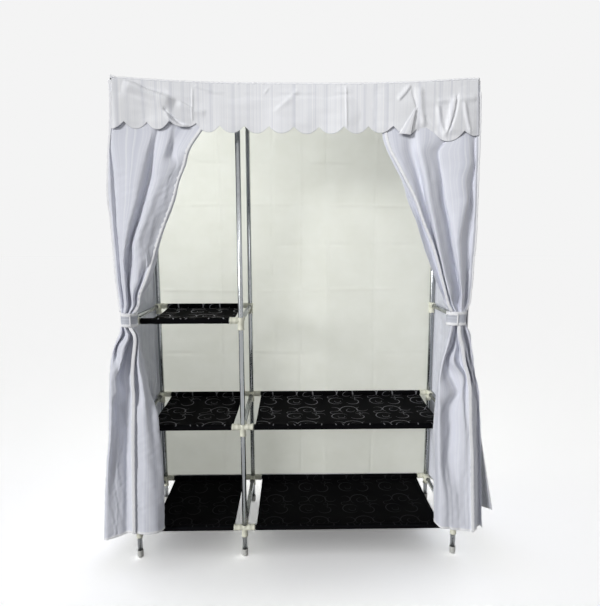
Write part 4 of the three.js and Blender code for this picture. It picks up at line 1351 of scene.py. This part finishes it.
for side, inner_line, low_line in (("left", 11, 8), ("right", 10, 5)):
    piece, grid = curtains[side]
    inner, lower = inner_line * per_line, low_line * per_line
    tapes = [strip(*along(grid, inner, 2, row_of(grid, inner, 0.982), 0.0012), 0.0100, 0.0017,
                   pucker=0.0009, seed=71),
             strip(*along(grid, lower, row_of(grid, lower, 0.942), len(grid), 0.0014), 0.0125,
                   0.0017, pucker=0.0003, seed=73),
             strip(*along(grid, 0, 4, row_of(grid, 0, 0.985), 0.0010), 0.0080, 0.0020,
                   pucker=0.0002, seed=74)]
    hem = grid[-1]
    hem = hem[np.concatenate([[True], np.linalg.norm(np.diff(hem, axis=0), axis=1) > 1e-5])]
    face = unit(np.cross(unit(np.gradient(hem, axis=0)), up_way))
    tapes.append(strip(hem + [0, 0, 0.003], up_way, face, 0.0100, 0.0024, pucker=0.0002, seed=75))
    edge = bound(f"curtain_binding_{side}", None, tapes)
    curtains[side] += (edge,)
print("curtain tapes", len(tapes), "on each side")


# %% Tapes of the roof, the corners and the sides
def straight(points, across, face, width, thickness, seed, count=120):
    """A tape through a few points, with the same two directions all along."""
    points = np.array(points, float)
    run = run_along(points)
    steps = np.linspace(0, run[-1], count)
    path = np.stack([np.interp(steps, run, points[:, n]) for n in range(3)], -1)
    return strip(path, unit(np.array(across, float)), unit(np.array(face, float)), width,
                 thickness, pucker=0.0004, seed=seed)


tape_y = back_y + 0.0014
edge_line = np.linspace(-side_x, side_x, 60)
front_top = [(a, front_y - 0.0072, float(roof_under(a, front_y)) + 0.0002) for a in edge_line]
front_top[0] = (-side_x - 0.002, front_y - 0.0070, front_top[0][2] + 0.008)
back_top = [(a, tape_y, float(roof_under(a, back_y)) - 0.0005) for a in edge_line]
tapes = [straight(front_top, (0, 0.25, 1), (0, -1, 0.25), 0.0068, 0.0030, 81, 420),
         straight(back_top, (0, 0, 1), (0, 1, 0), 0.0090, 0.0022, 82, 300)]
for side, sign, outside, corner_width in (("left", -1, 0.004, 0.0150), ("right", 1, 0.002, 0.0120)):
    depth = np.linspace(front_y - 0.006, back_y, 30)
    top = [(sign * (side_x + 0.0016), d, float(roof_under(side_x, d)) - 0.0005) for d in depth]
    tapes.append(straight(top, (0, 0, 1), (sign, 0, 0), 0.0080, 0.0024, 83))
    back_corner = sign * (side_x + 0.0012)
    tapes.append(straight([(back_corner, tape_y, 1.797), (back_corner, tape_y, 0.122)],
                          (sign, -1, 0), (sign, 1, 0), 0.0070, 0.0026, 84, 300))
    front_corner = [(sign * (side_x + lean), front_y - 0.0005, height)
                    for lean, height in ((outside, 1.796), (outside / 2, 1.700), (0, 1.600))]
    tapes.append(straight(front_corner, (1, 0, 0), (0, -1, 0), corner_width, 0.0026, 88))
    grid = side_edges[side]
    front = grid[::-1, 0]
    face = np.array([sign * 0.7071, -0.7071, 0.0])
    across = unit(np.cross(unit(np.gradient(front, axis=0)), face))
    tapes.append(strip(front, across, face, 0.0070, 0.0026, pucker=0.0002, seed=85))
    hem = grid[0]
    out = unit(np.cross(unit(np.gradient(hem, axis=0)), up_way)) * sign
    tapes.append(strip(hem + [0, 0, 0.003], up_way, out, 0.0100, 0.0024, pucker=0.0002, seed=86))
tapes.append(straight([(-side_x, tape_y, 0.1235), (side_x, tape_y, 0.1235)],
                      (0, 0, 1), (0, 1, 0), 0.0100, 0.0024, 87, 300))
bound("cover_bindings", "wardrobe", tapes)
print("tapes", len(tapes))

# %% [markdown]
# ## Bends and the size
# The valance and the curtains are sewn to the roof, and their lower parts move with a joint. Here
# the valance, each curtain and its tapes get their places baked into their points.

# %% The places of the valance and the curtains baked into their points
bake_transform(valance)
for side, width in (("left", 0.60), ("right", 0.64)):
    piece, grid, edge = curtains[side]
    for part in (piece, edge):
        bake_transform(part)
